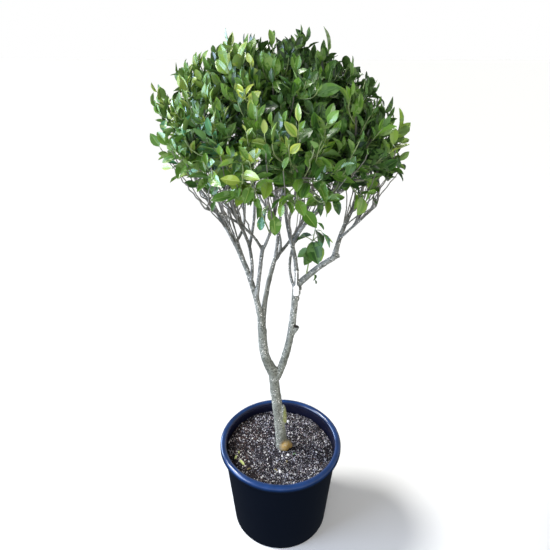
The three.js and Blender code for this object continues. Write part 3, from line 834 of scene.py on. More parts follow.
@dataclass
class Woodwork:
    """The trunk and boughs as one skin of bark, with flared forks, stubs and the graft's knob.

    A heel is the foot of a limb that runs down beside its parent, as the two grow into one. Its row
    says where on the parent it starts, how far aside and where it joins the limb. The row of a
    pruned stub is its limb, its place on it, azimuth, lean, length and radius. A knob's row is its
    middle and radius.
    """

    limbs: dict[str, Limb]
    voxel: float = 1.8
    step: float = 7.0
    collar: float = 0.32
    collar_reach: float = 2.6
    swelling: float = 0.05
    swelling_spacing: float = 13.0
    crook: float = 1.1
    crook_spacing: float = 42.0
    sunk: float = 5.0
    heels: tuple[tuple[str, float, float, float], ...] = (
        ("limb_centre", 0.42, 6.5, 0.14),
        ("left_outer", 0.52, -6.0, 0.1),
    )
    stubs: tuple[tuple[str, float, float, float, float, float], ...] = (
        ("limb_right", 0.49, -12, 27, 48, 6.4),
        ("right_arm", 0.94, -10, 62, 20, 5),
    )
    stub_swell: tuple[float, ...] = (1.5, 1.15, 1.0, 0.95, 1.0, 1.06, 0.9)
    knobs: tuple[tuple[float, float, float, float], ...] = (
        (23.0, -5.0, 312.0, 13.0),
        (16.0, -11.0, 303.0, 13.0),
        (31.0, -4.0, 304.0, 9.5),
        (7.0, -13.0, 298.0, 8.0),
        (6.0, 1.0, 298.0, 18.5),
        (45.0, 1.0, 893.0, 12.0),
        (42.0, 1.0, 878.0, 12.0),
        (40.0, 1.0, 860.0, 11.0),
    )
    knob_way: Triple = (0.5, -0.25, 0.83)
    moss_pad: Triple = (12.0, -3.0, 438.0)
    moss_pad_size: Pair = (7.0, 42.0)
    moss_pad_way: Triple = (-0.1, -0.04, 1.0)

    def limb_line(self, limb: Limb) -> tuple[Array, Array]:
        """The middle line and radii of a limb, slightly crooked and swollen at its nodes.

        Args:
            limb: the limb.

        Returns:
            Its points and the radius at each.
        """
        shares = np.linspace(0, 1, max(6, round(limb.rule.length / self.step)) + 1)
        points, radii = limb.at(shares), limb.radius(shares)
        run = shares * limb.rule.length
        seed = sum(map(ord, limb.rule.name))
        for i, s in enumerate(run):
            wobble = noise.noise_vector(Vector((s / self.crook_spacing, seed * 0.37, 0.5)))
            points[i] += np.array(wobble) * self.crook * math.sin(math.pi * shares[i])
            swell = noise.noise(Vector((s / self.swelling_spacing, seed * 0.71, 2.5)))
            radii[i] *= 1 + self.swelling * swell
        if limb.rule.parent:
            radii *= 1 + self.collar * np.exp(-run / (self.collar_reach * limb.rule.radius[0]))
        return points, radii

    def skin(self) -> bpy.types.Object:
        """Joins limbs, heels, stubs and knobs, and melts them into one closed skin."""
        batch = MeshBatch()
        for limb in self.limbs.values():
            points, radii = self.limb_line(limb)
            if not limb.rule.parent:
                points = np.concatenate([[points[0] - UP * self.sunk], points])
                radii = np.concatenate([[radii[0] * 1.05], radii])
            batch.add(*tube(points, radii, 14 if radii[0] > 7 else 10))
        for name, at, aside, onto in self.heels:
            limb = self.limbs[name]
            low = self.limbs[limb.rule.parent].at(at) + np.array([aside * 0.7, 0.0, 0.0])
            middle = limb.at(0.0) + np.array([aside, 0.0, -18.0])
            points = bezier(low, middle, limb.at(onto), 8)
            thick = float(limb.radius(0.0))
            batch.add(*tube(points, np.linspace(thick * 0.8, thick, len(points)), 12))
        for name, at, azimuth, lean, length, radius in self.stubs:
            shares = np.linspace(0, 1, len(self.stub_swell))[:, None]
            points = self.limbs[name].at(at) + heading(azimuth, lean) * length * shares
            batch.add(*tube(points, radius * np.array(self.stub_swell), 12))
        spread = np.linspace(-1, 1, 13)
        lumps = [(knob[:3], knob[3], knob[3], self.knob_way) for knob in self.knobs]
        for middle, thick, half, way in (*lumps, (self.moss_pad, *self.moss_pad_size, self.moss_pad_way)):
            line = np.array(middle) + np.outer(spread * half, way)
            batch.add(*tube(line, thick * np.sqrt(1.02 - spread**2), 14))
        piece = batch.piece("bark", [None])
        melt = piece.modifiers.new("melt", "REMESH")
        melt.mode = "VOXEL"
        melt.voxel_size = self.voxel * MM
        ease = piece.modifiers.new("ease", "SMOOTH")
        ease.factor = 0.5
        ease.iterations = 2
        work(piece)
        return piece

    def carve(self, mesh: bpy.types.Mesh) -> None:
        """Draws the bark's relief along the normals and notes the girth of the wood.

        Args:
            mesh: the skin's mesh, which is changed.
        """
        wood, radii = map_wood(self.limbs, MM)
        count = len(mesh.vertices)
        spots, normals = np.empty((2, count * 3), np.float32)
        mesh.vertices.foreach_get("co", spots)
        mesh.vertex_normals.foreach_get("vector", normals)
        spots, normals = spots.reshape(-1, 3), normals.reshape(-1, 3)
        girths, depths = np.empty((2, count))
        for i, spot in enumerate(spots):
            radius = radii[wood.find(spot)[1]]
            x, y, z = spot / MM
            wrinkle = noise.noise(Vector((x / 3.2, y / 3.2, z / 9)))
            lump = noise.noise(Vector((x / 9, y / 9, z / 15)))
            girths[i] = min(max((radius - 4.5) / 6, 0), 1)
            depths[i] = 0.25 + min(radius / 12, 1) * (0.15 + 0.4 * wrinkle + 0.8 * lump)
        spots += normals * depths[:, None] * MM
        mesh.vertices.foreach_set("co", spots.ravel())
        girth = mesh.attributes.new("girth", "FLOAT", "POINT")
        girth.data.foreach_set("value", girths.astype(np.float32))
        mesh.update()

    def build(self) -> None:
        """Builds the bark and hangs it on the frame in place of the trunk and all boughs."""
        piece = self.skin()
        self.carve(piece.data)
        piece.data.materials.clear()
        piece.data.materials.append(CitrusBark().material())
        settle(piece, "bark", *self.limbs)


@dataclass(frozen=True)
class Dome:
    """The trained crown: an ellipsoid's reach, with a flatter half below.

    A dent's row is its azimuth, lean, width in degrees, and how deep it is as a share of the reach.
    """

    centre: Array = field(default_factory=lambda: np.array([-3.0, 0.0, 1285.0]))
    wide: float = 318.0
    up: float = 264.0
    down: float = 156.0
    lowest_sine: float = -0.5
    dents: tuple[tuple[float, float, float, float], ...] = (
        (22.0, 56.0, 46.0, 0.14),
        (-30.0, 57.0, 26.0, 0.1),
        (2.0, 104.0, 42.0, 0.15),
        (-168.0, 108.0, 42.0, 0.18),
        (-172.0, 72.0, 26.0, -0.04),
        (-118.0, 26.0, 15.0, 0.1),
        (-60.0, 27.0, 14.0, 0.1),
        (103.0, 27.0, 16.0, 0.1),
        (62.0, 28.0, 20.0, 0.08),
        (90.0, 10.0, 60.0, 0.05),
    )
    billow: float = 0.09

    def fullness(self, way: Array) -> float:
        """How far shoots fill the dome in a direction: less in its dents, and uneven all round.

        Args:
            way: the direction, as a unit vector.

        Returns:
            A share of the dome's reach.
        """
        share = 1.0
        for azimuth, lean, width, depth in self.dents:
            apart = math.degrees(math.acos(min(1.0, max(-1.0, float(heading(azimuth, lean) @ way)))))
            share -= depth * max(0.0, 1 - (apart / width) ** 2)
        return share + self.billow * min(0.3, noise.noise(Vector(way * 3.4 + 5.2)))

    def reach(self, ways: Array) -> Array:
        """How far the crown reaches from its centre in each direction."""
        rise = np.where(ways[..., 2] > 0, self.up, self.down)
        level = np.hypot(ways[..., 0], ways[..., 1]) / self.wide
        return 1 / np.hypot(level, ways[..., 2] / rise)

    def share(self, points: Array) -> Array:
        """How far out points lie, from 0 at the crown's centre to 1 at its reach."""
        out = points - self.centre
        return np.linalg.norm(out, axis=-1) / self.reach(unit(out))

    def ways(self, count: int) -> Array:
        """The directions of shoots, spread evenly by the golden angle from skirt to top."""
        i = np.arange(count)
        z = mix(self.lowest_sine, 1.0, (i + 0.5) / count)
        level = np.sqrt(1 - z * z)
        return np.stack([level * np.cos(i * GOLDEN_ANGLE), level * np.sin(i * GOLDEN_ANGLE), z], axis=1)

    def end(self, way: Array, share: float) -> Array:
        """The point at a share of the crown's reach in a direction."""
        return self.centre + way * self.reach(way) * share


class Leaf(NamedTuple):
    """One leaf: the foot of its stalk, the way that it sets off in, the way it faces, and its shape.

    Tint and margin are the numbers of its greens, and the angles are in radians.
    """

    root: Array
    way: Array
    face: Array
    length: float
    tint: int
    margin: int
    width: float
    curl: float
    fold: float
    wave: float
    phase: float
    twist: float


@dataclass
class LeafBatch:
    """Leaves gathered for one piece. Their blades share the rows, their widths and the columns."""

    rows: tuple[float, ...] = (0.0, 0.1, 0.27, 0.48, 0.69, 0.87, 1.0)
    widths: tuple[float, ...] = (0.07, 0.5, 0.9, 1.0, 0.82, 0.43, 0.02)
    upper: tuple[float, ...] = (-1.0, -0.52, -0.055, 0.055, 0.52, 1.0)
    lower: tuple[float, ...] = (-1.0, 0.0, 1.0)
    stalk: float = 0.13
    stalk_radius: float = 0.75
    groove: float = 0.35
    thick: float = 0.55
    leaves: list[Leaf] = field(default_factory=list)

    def columns(self, stations: tuple[float, ...], depth: float) -> tuple[Array, Array]:
        """The vertices of one side of every blade, and each vertex's place on the leaf map.

        Args:
            stations: the columns, from one edge at -1 to the other at 1.
            depth: how far inside the blade this side's middle lies.

        Returns:
            Vertices as leaf, row, column, then x, y, z. Map places as row, column, then u, v.
        """
        fields = list(zip(*self.leaves))
        root, way, face = (np.array(f)[:, None, None, :] for f in fields[:3])
        length, _, _, width, curl, fold, wave, phase, twist = (
            np.array(f, float)[:, None, None] for f in fields[3:]
        )
        t = np.array(self.rows)[None, :, None]
        s = np.array(stations)[None, None, :]
        half = np.array(self.widths)[None, :, None] * width / 2
        run = self.stalk + (1 - self.stalk) * t
        least = 1e-6  # stands in for the curl of a flat leaf
        bend = curl * run + least
        round_by = curl + least / run
        open_by = fold * (1 - 0.45 * t)
        out = half * s * np.cos(open_by)
        cup = half * np.abs(s) * np.sin(open_by) + 0.1 * half * (s**2) * np.sin(open_by)
        ripple = wave * half * s**2 * np.sin(math.tau * 1.4 * t + phase * np.sign(s))
        edge = (np.abs(s) > 0.99).astype(float)
        rib = (np.abs(s) < 0.1).astype(float)
        lift = cup + ripple - (1 - edge) * depth - rib * self.groove * (depth <= 0)
        turn = twist * t
        y = out * np.cos(turn) - lift * np.sin(turn)
        z = out * np.sin(turn) + lift * np.cos(turn)
        ahead = length * np.sin(bend) / round_by + z * np.sin(bend)
        sink = length * (1 - np.cos(bend)) / round_by - z * np.cos(bend)
        side = np.cross(face, way)
        verts = root + way * ahead[..., None] - face * sink[..., None] + side * y[..., None]
        u = (0.25 if depth <= 0 else 0.75) + 0.23 * s[0]
        return verts, np.stack(np.broadcast_arrays(u, 0.02 + 0.96 * t[0]), axis=-1)

    def join(self) -> MeshBatch:
        """Makes the meshes of all leaves: upper sides with midribs, undersides and stalks."""
        batch = MeshBatch()
        tints = np.array([leaf.tint for leaf in self.leaves])
        margins = np.array([leaf.margin for leaf in self.leaves])
        flush = np.array([FLUSHES.index(t.value[1]) for t in TINTS])[tints]
        midribs, undersides = len(TINTS) + flush, len(TINTS) + len(FLUSHES) + flush
        count, rows = len(self.leaves), len(self.rows)
        for stations, depth in ((self.upper, 0.0), (self.lower, self.thick)):
            verts, places = self.columns(stations, depth)
            wide = len(stations)
            quad = quads(rows, wide)
            column = np.arange(len(quad)) % (wide - 1)
            slots = np.broadcast_to(undersides[:, None], (count, len(quad)))
            if depth <= 0:
                quad = quad[:, ::-1]
                slots = np.where(column == wide // 2 - 1, midribs[:, None], tints[:, None])
                slots = np.where((column == 0) | (column == wide - 2), margins[:, None], slots)
            faces = copies(quad, rows * wide, count)
            batch.add(verts.reshape(-1, 3), faces, slots.ravel(), np.tile(places.reshape(-1, 2), (count, 1)))
        for leaf, slot in zip(self.leaves, midribs):
            reach = leaf.way * (leaf.length * self.stalk)
            points = [leaf.root - leaf.way, leaf.root + reach * 0.5, leaf.root + reach - leaf.face * 0.3]
            verts, faces = tube(np.array(points), np.full(3, self.stalk_radius), 3)
            places = np.full((len(verts), 2), 0.5) + np.arange(len(verts))[:, None] * [0.0005, 0.0]
            batch.add(verts, faces[3:-3], slot, places)
        return batch


@dataclass(frozen=True)
class MassRule:
    """A mass of foliage: the bough that it grows on from and where in the dome it lies."""

    name: str
    limb: str
    azimuth: float
    top: bool = False
    leaves_at: float = 1.0

    def middle(self, crown: "Crown") -> Array:
        """The middle of the mass's space."""
        radius, height = (96.0, 1418.0) if self.top else (226.0, 1262.0)
        a, (x, y, _) = math.radians(self.azimuth), crown.dome.centre
        return np.array([x + radius * math.cos(a), y + radius * math.sin(a), height])


MASS_RULES = (
    MassRule("leaves_left", "left_outer", 180),
    MassRule("leaves_left_front", "left_front", 213),
    MassRule("leaves_front_left", "front_left", 243, leaves_at=0.55),
    MassRule("leaves_front", "front_mid", 279),
    MassRule("leaves_front_right", "front_right", 313),
    MassRule("leaves_right_front", "right_outer", 342),
    MassRule("leaves_right", "right_riser", 14),
    MassRule("leaves_right_back", "right_back", 46),
    MassRule("leaves_back_right", "back_right", 76),
    MassRule("leaves_back_left", "back_left", 110),
    MassRule("leaves_left_back", "left_back", 145),
    MassRule("leaves_top_left", "top_left", 185, True),
    MassRule("leaves_top_front", "top_front", 268, True),
    MassRule("leaves_top_right", "top_right", 0, True),
    MassRule("leaves_top_back", "top_back", 88, True),
)


@dataclass(frozen=True)
class SprayRule:
    """A spray that leaves the bare wood below the dome.

    Each of its side shoots has an azimuth, a lean, a length, a number of leaves and a tint.
    """

    name: str
    limb: str
    at: float
    azimuth: float
    lean: float
    length: float
    leaves: int
    size: float
    tint: LeafTint
    hang: float = 0.0
    bare: float = 0.3
    sides: tuple[tuple[float, float, float, int, LeafTint], ...] = ()

    def middle(self, crown: "Crown") -> Array:
        """The middle of the spray's space."""
        return crown.limbs[self.limb].at(self.at) + heading(self.azimuth, self.lean) * self.length * 0.8


SPRAY_RULES = (
    SprayRule(
        "low_spray_right", "right_arm", 0.3, -50, 11, 174, 6, 1.08, LeafTint.DEEP, 0.8, 0.5,
        sides=(
            (-160, 62, 40, 2, LeafTint.DEEP),
            (-15, 50, 30, 2, LeafTint.SUNLIT),
            (-75, 80, 20, 2, LeafTint.SHADE),
            (-60, 70, 30, 2, LeafTint.COOL),
        ),
    ),
    SprayRule(
        "low_spray_left", "top_front", 0.42, -124, 34, 46, 2, 0.9, LeafTint.CLEAR, 2.2, 0.85,
        sides=(
            (178, 112, 17, 1, LeafTint.COOL),
            (-70, 60, 12, 1, LeafTint.MIDDLE),
            (-128, 96, 20, 1, LeafTint.COOL),
            (-145, 80, 22, 1, LeafTint.COOL),
        ),
    ),
    SprayRule("low_spray_under", "right_arm", 0.5, -70, 150, 22, 2, 0.5, LeafTint.DEEP),
)


@dataclass(frozen=True)
class SprigRule:
    """A sprig that stands out of the shell, told by its direction from the crown's centre."""

    azimuth: float
    lean: float
    share: float
    leaves: int
    size: float
    opening: float
    tint: LeafTint
    length: float = 46.0


SPRIG_RULES = (
    SprigRule(-107, 60, 0.97, 5, 0.95, 66, LeafTint.YELLOW),
    SprigRule(-101, 66, 0.95, 2, 0.8, 30, LeafTint.CLEAR, 60),
    SprigRule(-100, 83, 0.97, 3, 0.62, 62, LeafTint.YELLOW, 34),
    SprigRule(-97, 76, 0.96, 2, 0.95, 24, LeafTint.FRESH, 52),
    SprigRule(-104, 75, 0.96, 3, 0.6, 52, LeafTint.FRESH, 38),
    SprigRule(-84, 72, 0.96, 3, 1.0, 26, LeafTint.SUNLIT, 60),
    SprigRule(-88, 79, 0.97, 3, 0.9, 36, LeafTint.SUNLIT, 46),
    SprigRule(-94, 79, 0.97, 2, 1.2, 40, LeafTint.CLEAR, 46),
    SprigRule(-105, 90, 0.97, 2, 1.0, 62, LeafTint.FRESH, 40),
    SprigRule(-132, 43, 0.9, 5, 1.2, 30, LeafTint.FRESH),
    SprigRule(-123, 40, 0.93, 5, 1.2, 30, LeafTint.SUNLIT),
    SprigRule(-110, 44, 0.94, 3, 1.0, 36, LeafTint.FRESH),
    SprigRule(-149, 58, 0.95, 5, 1.15, 34, LeafTint.FRESH),
    SprigRule(-158, 47, 0.95, 4, 1.1, 30, LeafTint.SUNLIT),
    SprigRule(-150, 80, 0.95, 4, 1.15, 58, LeafTint.COOL),
    SprigRule(-132, 80, 0.96, 3, 1.25, 62, LeafTint.COOL),
    SprigRule(-105, 86, 0.96, 2, 1.25, 70, LeafTint.SUNLIT, 40),
    SprigRule(-138, 64, 0.97, 4, 1.1, 40, LeafTint.SUNLIT),
    SprigRule(-142, 84, 0.96, 4, 1.3, 56, LeafTint.CLEAR),
    SprigRule(-73, 72, 0.97, 3, 0.95, 50, LeafTint.MIDDLE, 56),
    SprigRule(-83, 46, 0.95, 3, 0.85, 46, LeafTint.MIDDLE),
    SprigRule(-39, 31, 0.92, 4, 1.2, 26, LeafTint.MIDDLE),
    SprigRule(-102, 24, 0.94, 5, 1.0, 26, LeafTint.MIDDLE),
    SprigRule(-167, 28, 0.94, 6, 1.15, 34, LeafTint.SUNLIT),
    SprigRule(-126, 31, 0.9, 4, 1.2, 24, LeafTint.CLEAR),
    SprigRule(-166, 52, 0.97, 4, 1.1, 36, LeafTint.SUNLIT),
    SprigRule(-86, 24, 0.8, 4, 1.0, 22, LeafTint.MIDDLE),
    SprigRule(-45, 56, 0.97, 3, 0.55, 24, LeafTint.SHADE, 60),
    SprigRule(-31, 78, 0.96, 5, 1.2, 38, LeafTint.SUNLIT),
    SprigRule(-20, 84, 0.94, 4, 1.0, 50, LeafTint.CLEAR),
    SprigRule(-175, 66, 1.0, 6, 0.75, 30, LeafTint.CLEAR, 70),
    SprigRule(-40, 84, 0.96, 4, 1.1, 40, LeafTint.SUNLIT, 60),
    SprigRule(-122, 87, 0.95, 3, 1.0, 62, LeafTint.CLEAR, 50),
    SprigRule(-102, 91, 0.94, 3, 0.95, 62, LeafTint.MIDDLE, 50),
    SprigRule(-84, 100, 0.92, 4, 0.9, 66, LeafTint.MIDDLE, 50),
    SprigRule(-68, 102, 0.93, 4, 0.95, 56, LeafTint.CLEAR, 50),
    SprigRule(-71, 103, 0.94, 2, 1.15, 62, LeafTint.SUNLIT, 34),
    SprigRule(-38, 104, 0.93, 3, 0.75, 56, LeafTint.MIDDLE, 50),
    SprigRule(-46, 104, 0.95, 4, 0.85, 60, LeafTint.CLEAR, 50),
    SprigRule(-22, 94, 0.93, 4, 0.75, 60, LeafTint.DEEP, 50),
    SprigRule(-76, 116, 0.9, 3, 0.85, 60, LeafTint.MIDDLE, 50),
    SprigRule(-107, 96, 0.93, 3, 0.85, 60, LeafTint.MIDDLE, 50),
    SprigRule(-126, 104, 0.93, 3, 0.8, 60, LeafTint.GLOSSY, 50),
)


@dataclass(frozen=True)
class WandRule:
    """A long bare shoot that rises from a bough in front of the crown, with leaves at its tip."""

    limb: str
    at: float
    azimuth: float
    lean: float
    share: float
    leaves: int
    size: float
    tint: LeafTint
    bulge: float = 18.0
    green: bool = False


WAND_RULES = (
    WandRule("front_mid", 0.42, -74, 73, 0.97, 4, 0.9, LeafTint.MIDDLE, 34, True),
    WandRule("front_mid", 0.66, -79, 81, 0.96, 2, 0.8, LeafTint.CLEAR, 26, True),
    WandRule("front_right", 0.5, -61, 79, 0.97, 3, 0.8, LeafTint.MIDDLE, 30, True),
    WandRule("front_right", 0.8, -58, 84, 0.97, 2, 0.7, LeafTint.CLEAR, 22),
    WandRule("front_right", 0.35, -66, 92, 0.95, 2, 0.9, LeafTint.GLOSSY, 16),
    WandRule("right_outer", 0.4, -34, 94, 0.96, 2, 0.6, LeafTint.SHADE, 12),
    WandRule("right_outer", 0.75, -40, 84, 0.96, 3, 0.8, LeafTint.CLEAR, 16),
    WandRule("right_riser", 0.45, -30, 101, 0.9, 2, 0.7, LeafTint.MIDDLE, 10),
    WandRule("right_riser", 0.6, -49, 93, 0.92, 3, 0.8, LeafTint.MIDDLE, 14),
    WandRule("left_outer", 0.72, -152, 86, 0.94, 3, 0.9, LeafTint.MIDDLE, 8),
    WandRule("left_outer", 0.8, -139, 85, 0.95, 3, 0.9, LeafTint.COOL, 10),
    WandRule("left_outer", 0.62, -131, 87, 0.95, 3, 0.8, LeafTint.CLEAR, -14),
    WandRule("front_left", 1.0, -147, 90, 0.92, 3, 0.8, LeafTint.CLEAR, 2),
    WandRule("left_front", 0.6, -117, 88, 0.96, 3, 0.9, LeafTint.MIDDLE, 18),
    WandRule("left_front", 0.45, -113, 84, 0.96, 2, 0.9, LeafTint.CLEAR, 26),
    WandRule("front_left", 0.3, -108, 90, 0.95, 3, 0.9, LeafTint.GLOSSY, 16),
    WandRule("top_front", 0.25, -102, 85, 0.96, 2, 0.8, LeafTint.CLEAR, 30, True),
    WandRule("top_front", 0.35, -96, 82, 0.97, 3, 0.8, LeafTint.SUNLIT, 26),
    WandRule("upper_right", 0.96, -90, 88, 0.95, 2, 0.8, LeafTint.MIDDLE, 26),
)


@dataclass
class Crown:
    """What all masses and sprays keep to: the dome, the wood and the spaces of the others."""

    limbs: dict[str, Limb]
    dome: Dome = field(default_factory=Dome)
    hem: Pair = (-0.1, 0.7)
    hem_swing: float = 0.5
    middles: Array = field(init=False)
    wood: kdtree.KDTree = field(init=False)
    radii: list[float] = field(init=False)

    def __post_init__(self) -> None:
        """Notes the middles of all spaces, and maps the limbs that leaves stay clear of."""
        self.middles = np.array([rule.middle(self) for rule in (*MASS_RULES, *SPRAY_RULES)])
        self.wood, self.radii = map_wood(self.limbs)

    def clear(self, points: Iterable[Array], margin: float) -> bool:
        """Whether all points keep this far from the bark of every limb."""
        found = (self.wood.find(Vector(point)) for point in points)
        return all(apart >= self.radii[i] + margin for _, i, apart in found)

    def leafy(self, way: Array) -> float:
        """The chance that a shoot in a direction bears leaves: it falls to none below the hem."""
        start, reach = self.hem
        start += self.hem_swing * max(0.0, way[1]) * noise.noise(Vector(way * 4.0))
        return float(np.clip(1 - (-way[2] - start) / reach, 0, 1)) ** 3


@dataclass
class Growth:
    """One mass or spray as it grows: its number, its random numbers, its twigs and its leaves."""

    crown: Crown
    own: int
    random: Seeded
    twigs: MeshBatch = field(default_factory=MeshBatch)
    blades: LeafBatch = field(default_factory=LeafBatch)
    crook: float = 5.0
    leaf_length: Pair = (25.0, 53.0)
    leaf_shape: Pair = (0.36, 0.54)
    opening: Pair = (60.0, 24.0)
    turn: float = 137.5
    sway: float = 18.0
    proud: float = 0.995
    mottled: float = 0.3

    def in_space(self, point: Array, margin: float = 0.0) -> bool:
        """Whether a point is nearer to its own middle than to any other, by a margin."""
        mine = self.crown.middles[self.own]
        others = np.delete(self.crown.middles, self.own, axis=0)
        apart = np.linalg.norm(others - mine, axis=1)
        lead = (np.sum((point - others) ** 2, axis=1) - np.sum((point - mine) ** 2)) / (2 * apart)
        return bool(lead.min() >= margin)

    def twig(self, line: Array, radii: Pair, sides: int, green: bool = False) -> None:
        """Adds a twig that tapers along a line from one radius to another."""
        self.twigs.add(*tube(line, np.linspace(*radii, len(line)), sides), int(green))

    def bend(self, line: Array, first: int) -> None:
        """Makes a line crooked from one of its points to the last but one."""
        for k in range(first, len(line) - 1):
            line[k] += (np.array([self.random(), self.random(), self.random()]) - 0.5) * self.crook

    def painted_light_tint(self, end: Array, inner: bool) -> int:
        """Deals a shoot its green by where it stands, as painted light and shade: lighter to the left and
        lower down, darker to the right, higher up and inside the shell.

        Args:
            end: the shoot's tip.
            inner: whether the shoot stands inside the shell.

        Returns:
            The number of its tint.
        """
        out = unit(end - self.crown.dome.centre)
        # Painted light and shade: the tone rises to the left and falls to the right and upwards, plus a
        # random step.
        painted_tone = 3.55 - 1.1 * out[2] - 1.3 * out[0] + self.random.between(-1.9, 1.9)
        # Painted shade: shoots inside the shell get darker greens.
        if inner:
            painted_tone -= 1.6
        if self.random() < 0.05 and not inner:
            painted_tone += 1.6
        # Painted sheen: some low leaves to the left get a blue-green for the sky's reflection.
        if out[0] < -0.35 and out[2] < 0.25 and self.random() < 0.3:
            return TINTS.index(LeafTint.COOL)
        return int(min(max(painted_tone, 0), TINTS.index(LeafTint.FRESH)))

    def leaf_on(
        self, root: Array, way: Array, size: float, tint: int, along: Array, bound: bool, hang: float
    ) -> None:
        """Grows one leaf, shorter where the dome or the wood leaves less room, or none.

        Args:
            root: where it stands on its shoot.
            way: the direction in which it opens from the shoot.
            size: its share of the full length.
            tint: the number of its green.
            along: the shoot's direction there.
            bound: whether it keeps inside the dome.
            hang: how strongly it hangs.
        """
        between, dome = self.random.between, self.crown.dome
        out = unit(root - dome.centre)
        low = max(0.0, min(1.0, (0.3 - out[2]) / 0.5))
        way = unit(way + UP * (mix(0.5, -0.3, low) * between(0.5, 1.2) - hang))
        light = UP * mix(0.75, 1.0, low) + mix(0.95, 0.5, low) * unit(out * [1, 1, 0.3])
        face = 0.35 * (along - way * (along @ way)) + 0.9 * (light - way * (light @ way))
        face = unit(unit(face) + 0.95 * np.cross(way, unit(face)) * (2 * self.random() - 1))
        length = size * between(*self.leaf_length) * (1 + 0.3 * low)
        width = between(*self.leaf_shape) * (1 + 0.12 * low)
        curl, fold = between(-0.1, 0.75), between(0.15, 0.85)
        wave, phase, twist = between(0.02, 0.14), between(0, math.tau), between(-0.4, 0.4)
        lighter = min(tint + (2 if tint > 4 else 1), LIGHTEST)
        margin = lighter if self.random() < self.mottled and tint < LIGHTEST else tint
        full = dome.fullness(out) + 0.03
        for trial in (1, 0.86, 0.72):
            reach = length * trial
            mid = root + way * reach * 0.55 - face * reach * curl * 0.14
            tip = root + way * reach * 0.93 - face * reach * curl * 0.42
            if bound and float(dome.share(tip)) > self.proud * full:
                continue
            if self.in_space(mid, -14) and self.crown.clear([mid, tip], 2.5):
                shape = (width * reach, curl, fold, wave, phase, twist)
                self.blades.leaves.append(Leaf(root, way, face, reach, tint, margin, *shape))
                return

    def dress(
        self,
        line: Array,
        count: int,
        size: float,
        tint: int,
        bare: float,
        bound: bool = True,
        opening: Pair | None = None,
        hang: float = 0.0,
    ) -> None:
        """Grows the leaves of one shoot: they turn round it by one angle, and the last crowns it.

        Args:
            line: the shoot's points.
            count: how many leaves it has.
            size: their share of the full length.
            tint: the number of their green.
            bare: the share of the shoot that stays bare.
            bound: whether they keep inside the dome.
            opening: how far its first and last leaves open, in degrees.
            hang: how strongly its leaves hang.
        """
        random, run = self.random, runs(line)
        first = random() * 360
        for i in range(count):
            last = i == count - 1
            order = i / max(count - 1, 1)
            at = run[-1] * (1.0 if last else mix(bare, 0.97, order))
            k = min(int(np.searchsorted(run, at)), len(line) - 1)
            along = unit(line[k] - line[max(k - 1, 0)])
            crown = last and opening is None
            open_by = 10.0 if crown else mix(*(opening or self.opening), order) + random.between(-9, 12)
            around = first + i * self.turn + random.between(-1, 1) * self.sway
            step = (1 if random() < 0.5 else -1) if random() < 0.3 else 0
            own_tint = min(max(tint + step, 0), LIGHTEST) if tint <= LIGHTEST else tint
            side = across(along[None])[0]
            a, b = math.radians(around), math.radians(open_by)
            ring = side * math.cos(a) + np.cross(along, side) * math.sin(a)
            way = along * math.cos(b) + ring * math.sin(b)
            own_size = size * mix(1.0, 0.8, max(0.0, order - 0.6) / 0.4)
            self.leaf_on(point_on(line, run, at), way, own_size, own_tint, along, bound, hang)


